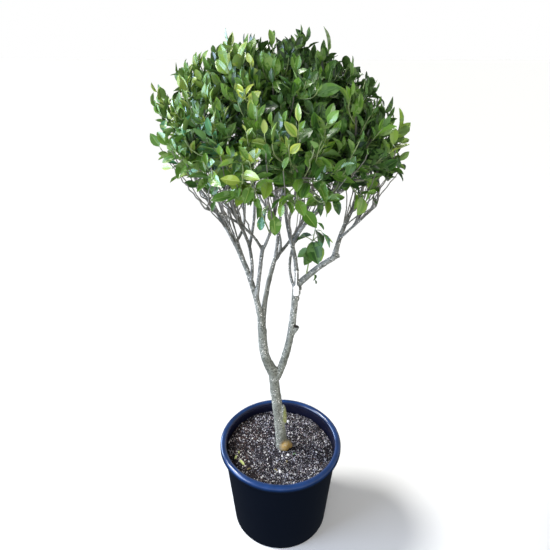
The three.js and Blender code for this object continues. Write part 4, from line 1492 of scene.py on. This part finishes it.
@dataclass
class Mass(Growth):
    """A mass of foliage: a stem, its branches, their fine shoots and the leaves on these."""

    branches: int = 82
    shoots: int = 680
    inner_shoots: int = 230
    risers: int = 210
    branch_share: float = 0.85
    shoot_share: float = 0.89
    inner_share: float = 0.64
    uneven: float = 0.11
    clump: float = 0.3
    leaf_spacing: float = 7.8
    lines: list[Array] = field(default_factory=list)

    def grow_branches(self, limb: Limb, at: float) -> None:
        """Grows the stem from inside its bough to the middle of the mass, and the branches on it.

        Args:
            limb: the bough.
            at: the share of its length that the stem leaves it at.
        """
        random, dome = self.random, self.crown.dome
        middle, tip, out = self.crown.middles[self.own], limb.at(at), limb.way(at)
        half = np.linalg.norm(middle - tip) * 0.4
        stem = bezier(tip - out * 3, tip + unit(out + unit(middle - tip)) * half, middle, 8)
        self.twig(stem, (limb.rule.radius[1], 2.8), 8)
        out = unit(stem[-1] - stem[-2])
        for way in dome.ways(self.branches):
            end = dome.end(way, self.branch_share * (1 - 0.07 * random()))
            if not self.in_space(end):
                continue
            place = random.between(0.35, 1.0) * (len(stem) - 1)
            k = int(place)
            foot = mix(stem[k], stem[min(k + 1, len(stem) - 1)], place % 1)
            ahead = unit(out * 0.5 + unit(end - foot) + UP * 0.1)
            line = bezier(foot, foot + ahead * np.linalg.norm(end - foot) * 0.5, end, 7)
            if not self.crown.clear(line[2:], 1.0):
                line = bezier(foot, mix(foot, end, 0.5), end, 7)
            self.lines.append(line)
            self.twig(line, (2.6, 1.4), 6)
            if random() < self.crown.leafy(way):
                self.dress(line, 4, 0.95, self.painted_light_tint(end, False), 0.8)

    def grow_risers(self, limb: Limb) -> None:
        """Grows the thin twigs that leave the mass's bough below the crown and rise into it."""
        random, dome = self.random, self.crown.dome
        for way in dome.ways(self.risers):
            end = dome.end(way, random.between(0.5, 0.84))
            at = random.between(0.35, 0.97)
            if way[2] < -0.36 or random() < 0.25 or not self.in_space(end):
                continue
            foot = limb.at(at)
            ahead = unit(limb.way(at) + 0.35 * unit(end - foot) + 0.2 * UP)
            line = bezier(foot, foot + ahead * float(np.linalg.norm(end - foot)) * 0.5, end, 9)
            self.bend(line, 1)
            self.twig(line, (1.9, 1.0), 4)
            self.dress(line, 4 if way[2] > 0 else 2, 0.9, self.painted_light_tint(end, True), 0.8)

    def grow_shoots(self, count: int, reach: float, inner: bool) -> None:
        """Grows fine shoots all round, each from the nearest branch.

        Args:
            count: how many the whole crown has.
            reach: the share of the dome's reach that they end near.
            inner: whether they stand inside the shell.
        """
        random, dome = self.random, self.crown.dome
        tips = np.array([line[-1] for line in self.lines])
        for way in dome.ways(count):
            share = reach * (1 - self.uneven * (2 * random() - 0.6)) * dome.fullness(way)
            end = dome.end(way, share)
            kept = random() < self.crown.leafy(way)
            if not kept or not self.lines or not self.in_space(end):
                continue
            if not inner:
                near = tips[np.argmin(np.linalg.norm(tips - end, axis=1))]
                pulled = mix(end, near, self.clump * random.between(0.3, 1.6)) - dome.centre
                end = dome.end(unit(pulled), share)
            foot = self.foot_of(end, random.between(55, 92))
            far = float(np.linalg.norm(end - foot))
            if far < 12:
                continue
            rise = random.between(0.6, 1.5) if way[2] > -0.1 else random.between(-0.2, 0.7)
            shoot = bezier(foot, end - unit(way + UP * rise) * far * 0.48, end, 6)
            self.twig(shoot, (1.4, 0.9), 5, not inner)
            leafy = min(far * 0.8, 66.0)
            tint = self.painted_light_tint(end, inner)
            size = random.between(0.82, 1.1)
            self.dress(shoot, max(3, int(leafy / self.leaf_spacing)), size, tint, 1 - leafy / far)

    def foot_of(self, end: Array, apart: float) -> Array:
        """The foot of a shoot: on the nearest branch, this far from the shoot's end."""
        spots = [(np.linalg.norm(line - end, axis=1), line) for line in self.lines]
        gaps, line = min(spots, key=lambda spot: spot[0].min() + 30 * (spot[0].argmin() < 2))
        near = int(np.argmin(np.abs(gaps - apart)))
        return line[min(near, len(line) - 2)]

    def grow_sprig(self, rule: SprigRule, end: Array) -> None:
        """Grows one sprig that stands out of the shell.

        Args:
            rule: its rule.
            end: its place on the dome, where its leaves start.
        """
        out = unit(end - self.crown.dome.centre)
        tip = end - out * 8
        foot = self.foot_of(tip, rule.length + 40)
        far = float(np.linalg.norm(tip - foot))
        line = bezier(foot, tip - unit(out * 0.45 + UP) * far * 0.5, tip, 7)
        self.twig(line, (1.6, 1.0), 5, True)
        bare = 1 - min(0.9, 0.5 * rule.length / far)
        opening = (rule.opening + 8, rule.opening - 8)
        self.dress(line, rule.leaves, rule.size, TINTS.index(rule.tint), bare, False, opening)

    def grow_wand(self, rule: WandRule, end: Array) -> None:
        """Grows one wand from its bough, out in front of the shell and up to its tip.

        Args:
            rule: its rule.
            end: its tip.
        """
        foot = self.crown.limbs[rule.limb].at(rule.at)
        aside = unit((end - self.crown.dome.centre) * [1, 1, 0])
        line = bezier(foot, mix(foot, end, 0.45) + aside * rule.bulge, end, 12)
        self.bend(line, 2)
        self.twig(line, (2.0, 1.0), 5, rule.green)
        self.dress(line, rule.leaves, rule.size, TINTS.index(rule.tint), 0.72, False, (62, 34))

    def grow(self, rule: MassRule) -> None:
        """Grows the mass into its twigs and leaves."""
        limb = self.crown.limbs[rule.limb]
        self.grow_branches(limb, rule.leaves_at)
        self.grow_risers(limb)
        self.grow_shoots(self.shoots, self.shoot_share, False)
        self.grow_shoots(self.inner_shoots, self.inner_share, True)
        for single, rules in ((self.grow_sprig, SPRIG_RULES), (self.grow_wand, WAND_RULES)):
            for shoot in rules:
                end = self.crown.dome.end(heading(shoot.azimuth, shoot.lean), shoot.share)
                if self.in_space(end):
                    single(shoot, end)


@dataclass
class Spray(Growth):
    """A low spray: its shoot, its side shoots and their leaves."""

    def grow(self, rule: SprayRule) -> None:
        """Grows the spray into its twigs and leaves."""
        foot = self.crown.limbs[rule.limb].at(rule.at)
        tip = foot + heading(rule.azimuth, rule.lean) * rule.length
        line = bezier(foot, mix(foot, tip, 0.5) + UP * 4, tip, 6)
        self.twig(line, (2.2, 1.1), 6, True)
        tint = TINTS.index(rule.tint)
        self.dress(line, rule.leaves, rule.size, tint, rule.bare, False, hang=rule.hang)
        for azimuth, lean, length, leaves, tint in rule.sides:
            start = line[2 + int(self.random() * 4)]
            end = start + heading(azimuth, lean) * length
            side = bezier(start, mix(start, end, 0.5) + UP * 5, end, 4)
            self.twig(side, (1.4, 0.9), 5, True)
            self.dress(side, leaves, rule.size, TINTS.index(tint), 0.2, False, hang=rule.hang)


@dataclass
class Foliage:
    """The whole crown: every mass and low spray, and the finishes that they share."""

    limbs: dict[str, Limb]
    mass_seed: int = 1000
    spray_seed: int = 2000

    def build(self) -> None:
        """Builds the twigs and leaves of every mass and spray, in place of their nodes."""
        crown = Crown(self.limbs)
        skins = [
            ShootSkin("young_wood_skin", 0.78).material(),
            ShootSkin("green_shoot_skin", 0.5, colours=("#657b48", "#98a67a")).material(),
        ]
        greens = [LeafCuticle(f"leaf_{t.name.lower()}", colour=t.value[0]).material() for t in TINTS]
        for k, (kind, roughness, wax) in enumerate((("midrib", 0.45, 0.1), ("underside", 0.62, 0.0))):
            for flush in FLUSHES:
                name = f"{kind}_{flush.name.lower()}"
                greens.append(LeafCuticle(name, roughness, colour=flush.value[k], wax=wax).material())
        total = 0
        for own, rule in enumerate((*MASS_RULES, *SPRAY_RULES)):
            mass = isinstance(rule, MassRule)
            seed = self.mass_seed if mass else self.spray_seed
            growth = (Mass if mass else Spray)(crown, own, Seeded(seed + own))
            growth.grow(rule)
            settle(growth.twigs.piece(f"{rule.name}_twigs", skins), "bark", rule.name)
            settle(growth.blades.join().piece(f"{rule.name}_blades", greens), "foliage", rule.name)
            total += len(growth.blades.leaves)
        LOG.info("%d leaves in all", total)


def arc(middle: Pair, radius: float, angles: Iterable[float]) -> list[Pair]:
    """Points on a circle round a middle, at angles in degrees."""
    turns = [math.radians(angle) for angle in angles]
    return [(middle[0] + radius * math.cos(a), middle[1] + radius * math.sin(a)) for a in turns]


@dataclass
class Pot:
    """The round tapered pot with its rolled lip, in millimetres."""

    rim_radius: float = 200.0
    height: float = 330.0
    base_radius: float = 161.0
    wall_top: float = 186.0
    wall: float = 5.0
    floor: float = 6.0
    lip_height: float = 22.0
    lip_inner: float = 179.0
    lip_round: float = 4.0
    neck: float = 8.0
    foot: float = 4.0
    segments: int = 160
    drain_holes: int = 5
    drain_radius: float = 7.0
    drain_circle: float = 112.0

    def inside(self, height: float) -> float:
        """The inside radius of the wall at a height."""
        top = self.height - self.lip_height - self.neck
        share = (height - self.floor) / (top - self.floor)
        return mix(self.base_radius - self.wall, self.wall_top - self.wall, share)

    def profile(self) -> list[Pair]:
        """The wall's outline as radius and height, from the middle of the underside round."""
        lip, edge = self.height - self.lip_height, self.lip_round
        roll = (self.rim_radius - self.lip_inner) / 2
        inner = self.wall_top - self.wall
        points = [(0.5, 0.0), (self.drain_circle * 0.8, 0.0), (self.base_radius - self.foot, 0.0)]
        points += arc((self.base_radius - self.foot, self.foot), self.foot, (-67, -45, -22, 0))
        for share in (0.2, 0.4, 0.6, 0.8, 0.97, 1.0):
            radius = mix(self.base_radius, self.wall_top, share)
            points.append((radius, mix(self.foot, lip - self.neck, share)))
        points += [(self.wall_top + 0.4, lip - 4), (self.wall_top + 2, lip - 0.8)]
        points += [(self.wall_top + 4, lip), (self.rim_radius - edge, lip)]
        points += arc((self.rim_radius - edge, lip + edge), edge, (-60, -30, 0))
        points += arc((self.lip_inner + roll, self.height - roll), roll, range(0, 181, 15))
        points += [(inner - 1.6, lip), (inner, lip - self.neck)]
        return points + [(self.base_radius - self.wall, self.floor), (0.5, self.floor)]

    def drills(self) -> bpy.types.Object:
        """The rods that bore the drain holes."""
        batch = MeshBatch()
        for k in range(self.drain_holes):
            a = (k + 0.5) / self.drain_holes * math.tau
            middle = np.array([self.drain_circle * math.cos(a), self.drain_circle * math.sin(a), 0])
            rod = middle + np.outer(np.linspace(-12, 12, 4), UP)
            batch.add(*tube(rod, np.full(4, self.drain_radius), 28))
        return batch.piece("drills", [None])

    def build(self) -> None:
        """Turns the profile round, bores the drain holes and hangs the pot on the frame."""
        profile = np.array(self.profile())
        angles = np.arange(self.segments) / self.segments * math.tau
        x, y = (np.outer(turn(angles), profile[:, 0]) for turn in (np.cos, np.sin))
        verts = np.stack([x, y, np.broadcast_to(profile[:, 1], x.shape)], axis=-1)
        batch = MeshBatch()
        batch.add(verts.reshape(-1, 3), quads(*x.shape, True, True))
        piece = batch.piece("moulded_pot", [MouldedPolypropylene().material()])
        drills = self.drills()
        bore = piece.modifiers.new("bore", "BOOLEAN")
        bore.object = drills
        bore.solver = "EXACT"
        bore.use_self = True
        mesh = work(piece)
        bpy.data.objects.remove(drills)
        mesh.set_sharp_from_angle(angle=math.radians(35))
        settle(piece, "pot", "pot")


@dataclass
class PottingMix:
    """The mix that fills the pot, with its crumbs of pumice, grit and bark, in millimetres.

    A white bit's row is its x, y and radius. A leaf end's row is its x, y, length, turn in degrees
    and kind.
    """

    pot: Pot
    level: float = 290.0
    edge_drop: float = 7.0
    flat: float = 42.0
    lump: float = 4.0
    spacing: Triple = (23.0, 19.0, 41.0)
    back_rise: float = 6.0
    tilt: float = 9.0
    clearance: float = 0.5
    rings: int = 60
    segments: int = 144
    fine_crumbs: int = 9500
    fine_size: Pair = (0.8, 1.8)
    crumbs: int = 2600
    crumb_size: Pair = (1.4, 2.8)
    shares: tuple[float, ...] = (0.2, 0.18, 0.2, 0.1, 0.09, 0.23)
    white_bits: tuple[Triple, ...] = (
        (-2, -104, 7.4),
        (28, 113, 6.6),
        (25, -35, 5.2),
        (120, -18, 4.2),
        (88, -122, 3.6),
        (-60, -128, 3.4),
        (40, -146, 3.8),
        (62, 40, 3.2),
        (-96, 30, 3.0),
        (30, 64, 4.4),
    )
    litter: tuple[tuple[float, float, float, float, int], ...] = (
        (-146, -47, 19, 70, 1),
        (-125, -72, 28, 128, 1),
        (-138, -28, 12, 100, 1),
        (-101, -96, 12, 20, 0),
        (46, -30, 13, 30, 2),
        (-16, -96, 15, 150, 0),
        (20, -60, 12, 80, 0),
    )

    @property
    def wide(self) -> float:
        """The radius of the surface."""
        return self.pot.inside(self.level - self.edge_drop) - self.clearance

    def height(self, x: Array, y: Array) -> Array:
        """The height of the surface at a place, without its crumbs."""
        radius, wide = np.hypot(x, y), self.wide
        a, b, c = self.spacing
        ease = np.clip((radius - self.flat) / 30, 0, 1) * np.clip((wide - radius) / 6, 0, 1)
        stops = [0, self.flat, mix(self.flat, wide, 0.35), mix(self.flat, wide, 0.7), wide]
        drop = np.interp(radius, stops, [0, 0, 0, 2, self.edge_drop])
        lump = self.lump * np.sin(x / a) * np.cos(y / b + x / c)
        rise = self.back_rise * np.maximum(0, y) / wide
        return self.level - drop + ease * (lump + rise) - self.tilt * x / wide

    def body(self) -> MeshBatch:
        """The closed body of the mix with a crumbly surface."""
        bottom = self.pot.floor + 0.3
        low = self.pot.inside(bottom) - self.clearance
        radii = np.append(np.linspace(0.5, self.wide, self.rings), [low, 0.5])
        angles = np.arange(self.segments) / self.segments * math.tau
        x, y = np.outer(radii, np.cos(angles)), np.outer(radii, np.sin(angles))
        z = self.height(x, y)
        for place in np.ndindex(self.rings, self.segments):
            spot = Vector((x[place] / 6, y[place] / 6, 0.5))
            z[place] += 1.3 * noise.noise(spot) + 0.8 * noise.noise(spot * 2.3)
        edge = self.rings - 1
        z[edge] = self.level - self.edge_drop - self.tilt * x[edge] / self.wide
        z[self.rings :] = bottom
        batch = MeshBatch()
        batch.add(np.stack([x, y, z], axis=-1).reshape(-1, 3), quads(*x.shape, round_columns=True))
        return batch

    def forms(self) -> tuple[tuple[Array, Array], tuple[Array, Array]]:
        """The corners and faces of an eight-sided fine crumb and of a twenty-sided coarse one."""
        g = (1 + math.sqrt(5)) / 2
        corners = np.array(
            [(-1, g, 0), (1, g, 0), (-1, -g, 0), (1, -g, 0), (0, -1, g), (0, 1, g)]
            + [(0, -1, -g), (0, 1, -g), (g, 0, -1), (g, 0, 1), (-g, 0, -1), (-g, 0, 1)]
        )
        faces = np.array(
            [(0, 11, 5), (0, 5, 1), (0, 1, 7), (0, 7, 10), (0, 10, 11), (1, 5, 9), (5, 11, 4)]
            + [(11, 10, 2), (10, 7, 6), (7, 1, 8), (3, 9, 4), (3, 4, 2), (3, 2, 6), (3, 6, 8)]
            + [(3, 8, 9), (4, 9, 5), (2, 4, 11), (6, 2, 10), (8, 6, 7), (9, 8, 1)]
        )
        eight = [(0, 1, 2), (1, 3, 2), (3, 4, 2), (4, 0, 2), (1, 0, 5), (3, 1, 5), (4, 3, 5), (0, 4, 5)]
        fine = np.concatenate([np.eye(3), -np.eye(3)]), np.array(eight)
        return fine, (corners / math.hypot(1, g), faces)

    def strew(self, count: int, seed: int) -> tuple[Array, Array]:
        """Places strewn evenly over the surface, clear of the trunk's foot."""
        rng = np.random.default_rng(seed)
        radius = (self.wide - 3) * np.sqrt(rng.random(count))
        angle = rng.random(count) * math.tau
        x, y = radius * np.cos(angle), radius * np.sin(angle)
        apart = np.hypot(x - 9, y - 8) > 22
        return x[apart], y[apart]

    def crumbs_at(
        self, x: Array, y: Array, size: Array, kinds: Array, form: tuple[Array, Array], seed: int
    ) -> tuple[Array, Array, Array]:
        """Shapes one crumb at each place, each turned, stretched and chipped its own way.

        Args:
            x: the places' x.
            y: the places' y.
            size: the crumbs' radii.
            kinds: the crumbs' slots.
            form: the corners and faces that they start from.
            seed: the seed of their shapes.

        Returns:
            Vertices, faces and the slot of each face.
        """
        rng = np.random.default_rng(seed)
        corners, faces = form
        n, wide = len(x), len(corners)
        z = self.height(x, y) + size * rng.uniform(0.05, 0.7, n) + 0.5
        spin, _ = np.linalg.qr(rng.normal(size=(n, 3, 3)))
        stretch = rng.uniform(0.6, 1.3, (n, 1, 3))
        chipped = rng.uniform(0.75, 1.15, (n, wide, 1))
        shape = (corners[None] * stretch * chipped) @ spin * size[:, None, None]
        verts = shape + np.stack([x, y, z], axis=1)[:, None, :]
        return verts.reshape(-1, 3), copies(faces, wide, n), np.repeat(kinds, len(faces))

    def grit(self) -> MeshBatch:
        """Crumbs strewn over the surface: white pumice, blue-grey and pinkish grit, dark bark."""
        batch = MeshBatch()
        bark, dark = 4, 5
        fine, coarse = self.forms()
        for count, sizes, form, seed in (
            (self.fine_crumbs, self.fine_size, fine, 7),
            (self.crumbs, self.crumb_size, coarse, 8),
        ):
            x, y = self.strew(count, seed)
            rng = np.random.default_rng(seed + 20)
            n = len(x)
            size = mix(*sizes, rng.random(n) ** 2)
            kinds = rng.choice(len(self.shares), n, p=self.shares)
            browner = (x < -70 + 30 * np.sin(y / 31)) & (rng.random(n) < 0.55)
            kinds = np.where(browner & (kinds > 0), bark, kinds)
            patch = np.array([noise.noise(Vector((*p, 1.5))) for p in np.stack([x, y], axis=1) / 17])
            kinds = np.where((patch < -0.1) & (rng.random(n) < 0.45), dark, kinds)
            batch.add(*self.crumbs_at(x, y, size, kinds, form, seed + 40))
        x, y, size = np.array(self.white_bits).T
        batch.add(*self.crumbs_at(x, y, size, np.zeros(len(x), int), coarse, 99))
        return batch

    def leaf_litter(self) -> MeshBatch:
        """Small dry and yellow leaf ends that lie on the mix."""
        batch = MeshBatch()
        rows, count = 7, 21  # the rows of a leaf end, and the vertices of one of its sides
        shares = np.linspace(-0.5, 0.5, rows)
        top = quads(rows, 3)
        rim = [*range(0, count, 3), count - 2, *range(count - 1, 0, -3), 1]
        edge = np.array([(a, b, b + count, a + count) for a, b in zip(rim, rim[1:] + rim[:1])])
        faces = np.concatenate([top, top[:, ::-1] + count, edge])
        for x, y, length, turn, kind in self.litter:
            a = math.radians(turn)
            along = np.array([math.cos(a), math.sin(a), 0.0])
            side = np.array([-math.sin(a), math.cos(a), 0.0])
            middle = np.array([x, y, float(self.height(np.array(x), np.array(y))) + 3.2])
            widths = 0.17 * length * np.sqrt(np.maximum(1 - (2 * shares) ** 2, 0.02))
            line = middle + np.outer(shares * length, along) + np.outer(1.2 * np.cos(6 * shares), UP)
            half = side * widths[:, None]
            verts = np.stack([line - half, line - UP * 0.9, line + half], 1).reshape(-1, 3)
            batch.add(np.concatenate([verts, verts - UP * 0.5]), faces, kind)
        return batch

    def build(self) -> None:
        """Builds the mix, its grit and its litter, in place of the soil's node."""
        body = [PottingMixBody().material()]
        kinds = {
            "white_pumice": "#eeecec",
            "blue_grey_grit": "#b2b2c0",
            "grey_grit": "#6c6a72",
            "pinkish_grit": "#9c8c90",
            "bark_chip": "#594540",
            "dark_chip": "#1f1c22",
        }
        crumbs = [Crumb(name, colours=(colour,)).material() for name, colour in kinds.items()]
        dried = {"dry_leaf": "#8f8356", "yellow_leaf": "#c3cf84", "green_leaf": "#6d8f63"}
        leaves = [Crumb(name, 0.6, colours=(colour,), grain=2.5).material() for name, colour in dried.items()]
        settle(self.body().piece("potting_mix_body", body), "potting_mix", "soil")
        settle(self.grit().piece("potting_mix_grit", crumbs, smooth=False), "potting_mix", "soil")
        settle(self.leaf_litter().piece("leaf_litter", leaves), "potting_mix", "soil")


@dataclass
class PlantTag:
    """The white tag: a strap looped round its limb, a strip and a plain plate, in millimetres."""

    limb: Limb
    at: float = 0.45
    width: float = 15.0
    height: float = 34.0
    drop: float = 46.0
    lap: float = 3.0
    strip: float = 3.4
    wire: float = 1.1
    gap: float = 0.6
    thickness: float = 0.8
    bow: float = 2.2

    def ribbon(self, line: Array, widths: Array, face: Array) -> tuple[Array, Array]:
        """A flat ribbon along a line.

        Args:
            line: its middle line.
            widths: its width at each point.
            face: the direction that it faces.

        Returns:
            Its vertices and faces.
        """
        ways = unit(np.gradient(line, axis=0))
        side = unit(np.cross(ways, face))
        out = unit(np.cross(side, ways)) * self.thickness / 2
        half = side * widths[:, None] / 2
        rings = [line - half - out, line + half - out, line + half + out, line - half + out]
        verts = np.stack(rings, axis=1).reshape(-1, 3)
        walls = quads(len(line), 4, round_columns=True)[:, [0, 3, 2, 1]]
        caps = np.array([[3, 2, 1, 0], np.arange(4) + len(verts) - 4])
        return verts, np.concatenate([walls, caps])

    def build(self) -> None:
        """Builds the tag in place of its node."""
        place, way = self.limb.at(self.at), self.limb.way(self.at)
        hole = float(self.limb.radius(self.at)) + self.gap + self.wire
        side = across(way[None])[0]
        angles = np.linspace(0, math.tau, 33)
        ring = np.outer(np.cos(angles), side) + np.outer(np.sin(angles), np.cross(way, side))
        batch = MeshBatch()
        batch.add(*tube(place + hole * ring, np.full(33, self.wire), 8))
        front = np.array([place[0], place[1] - hole - self.wire, place[2] + self.lap])
        down = np.linspace(0, 1, 25)
        end = self.drop + self.height - self.lap
        line = front - np.outer(down * end, UP)
        line[:, 1] -= self.bow * np.sin(down * math.pi)
        start = (self.drop - self.lap) / end
        swell = np.clip((down - start) / 0.06, 0, 1)
        close = np.clip((1 - down) / 0.04, 0.55, 1)
        batch.add(*self.ribbon(line, mix(self.strip, self.width, swell) * close, np.array([0.0, -1.0, 0.0])))
        piece = batch.piece("tag_strap_and_plate", [TagPlastic().material()])
        piece.data.set_sharp_from_angle(angle=math.radians(40))
        settle(piece, "tag", "plant_tag")


class LightReach(Enum):
    """What a soft light acts on: whether it lights surfaces, and whether they mirror it."""

    FULL = (True, True)
    DIFFUSE = (True, False)
    SHEEN = (False, True)


class SoftBox(NamedTuple):
    """One square soft light: its place and aim, side in metres, power in watts, colour and reach."""

    name: str
    place: Triple
    aim: Triple
    side: float
    power: float
    colour: str
    reach: LightReach


SOFT_BOXES = (
    SoftBox("side_light", (-1.7, -0.8, 1.2), (0, 0, 1.0), 1.0, 34, "#d4e3ff", LightReach.FULL),
    SoftBox("low_fill", (-0.3, -2.5, 0.45), (0, 0, 1.1), 2.0, 50, "#fbfbff", LightReach.DIFFUSE),
    SoftBox("right_fill", (1.5, -2.1, 0.7), (0, 0, 1.2), 1.4, 22, "#fffaf2", LightReach.DIFFUSE),
    SoftBox("sky_sheen", (-2.5, -0.5, 1.3), (0, 0, 1.2), 1.6, 60, "#a8ccff", LightReach.SHEEN),
    SoftBox("back_sheen", (-2.3, 1.5, 0.8), (0, 0, 0.3), 1.4, 80, "#b4d2ff", LightReach.SHEEN),
)


@dataclass
class Studio:
    """The white floor, the soft lights and the camera at the photograph's angle, in metres.

    The floor is white to look at, but throws no light back, as in a studio where black cloth
    lies round the plant: so the pot's wall stays near black and the limbs have a dark side.
    """

    floor_side: float = 160.0
    camera_place: Triple = (-0.0182, -1.176, 1.5)
    camera_pitch: float = 25.69
    camera_lens: float = 30.76
    horizon: str = "#ffffff"
    zenith: str = "#8e8e8d"
    ground: str = "#33373c"
    sun_power: float = 3.6
    sun_softness: float = 20.0
    sun_azimuth: float = 168.0
    sun_lean: float = 46.0
    sun_colour: str = "#fffefa"

    def sky(self) -> bpy.types.World:
        """Builds the world's light: white at the horizon, greyer above and dark below."""
        world = bpy.data.worlds.new("studio_sky")
        world.use_nodes = True
        tree = world.node_tree
        way = add_node(tree, "TexCoord", output="Generated")
        rise = add_node(tree, "SeparateXYZ", {0: way}, "Z")
        share = add_node(tree, "MapRange", {"Value": rise, "From Min": -1.0, "From Max": 1.0})
        stops = ((0.455, self.ground), (0.485, self.horizon), (0.58, self.horizon), (0.8, self.zenith))
        feed(tree.nodes["Background"], {"Color": add_node(tree, "ValToRGB", {"Fac": share}, stops=stops)})
        return world

    def lay_floor(self) -> None:
        """Lays the floor, which only the camera sees."""
        half = self.floor_side / 2 / MM
        corners = [(-half, -half, -0.5), (half, -half, -0.5), (half, half, -0.5), (-half, half, -0.5)]
        batch = MeshBatch()
        batch.add(np.array(corners), np.array([[0, 1, 2, 3]]))
        floor = batch.piece("studio_floor", [StudioPaint().material()])
        floor.visible_diffuse = False
        floor.visible_glossy = False
        floor.visible_shadow = False

    def hang_lights(self) -> None:
        """Hangs the soft boxes and the key light."""
        sun = bpy.data.lights.new("key_light", "SUN")
        sun.energy = self.sun_power
        sun.angle = math.radians(self.sun_softness)
        sun.color = srgb(self.sun_colour)[:3]
        towards = Vector(heading(self.sun_azimuth, self.sun_lean))
        put("key_light", sun).rotation_euler = towards.to_track_quat("Z", "Y").to_euler()
        for box in SOFT_BOXES:
            lamp = bpy.data.lights.new(box.name, "AREA")
            lamp.shape = "SQUARE"
            lamp.size = box.side
            lamp.energy = box.power
            lamp.color = srgb(box.colour)[:3]
            holder = put(box.name, lamp)
            holder.location = box.place
            towards = Vector(box.aim) - Vector(box.place)
            holder.rotation_euler = towards.to_track_quat("-Z", "Y").to_euler()
            holder.visible_camera = False
            holder.visible_diffuse, holder.visible_glossy = box.reach.value

    def build(self) -> None:
        """Builds the floor, the sky, the lights and the camera."""
        scene = bpy.context.scene
        self.lay_floor()
        scene.world = self.sky()
        self.hang_lights()
        camera = bpy.data.cameras.new("photo_camera")
        camera.sensor_width = 36.0
        camera.lens = self.camera_lens
        scene.camera = put("photo_camera", camera)
        scene.camera.location = self.camera_place
        scene.camera.rotation_euler = (math.radians(90 - self.camera_pitch), 0, 0)
        scene.view_settings.view_transform = "Standard"


def main() -> None:
    """Builds the sub-assemblies in order, and reports each piece."""
    logging.basicConfig(level=logging.INFO, format="%(message)s", stream=sys.stdout)
    limbs = lay_out_limbs()
    pot = Pot()
    pot.build()
    PottingMix(pot).build()
    Woodwork(limbs).build()
    Foliage(limbs).build()
    PlantTag(limbs["upper_right"]).build()
    Studio().build()


if __name__ == "__main__":
    main()
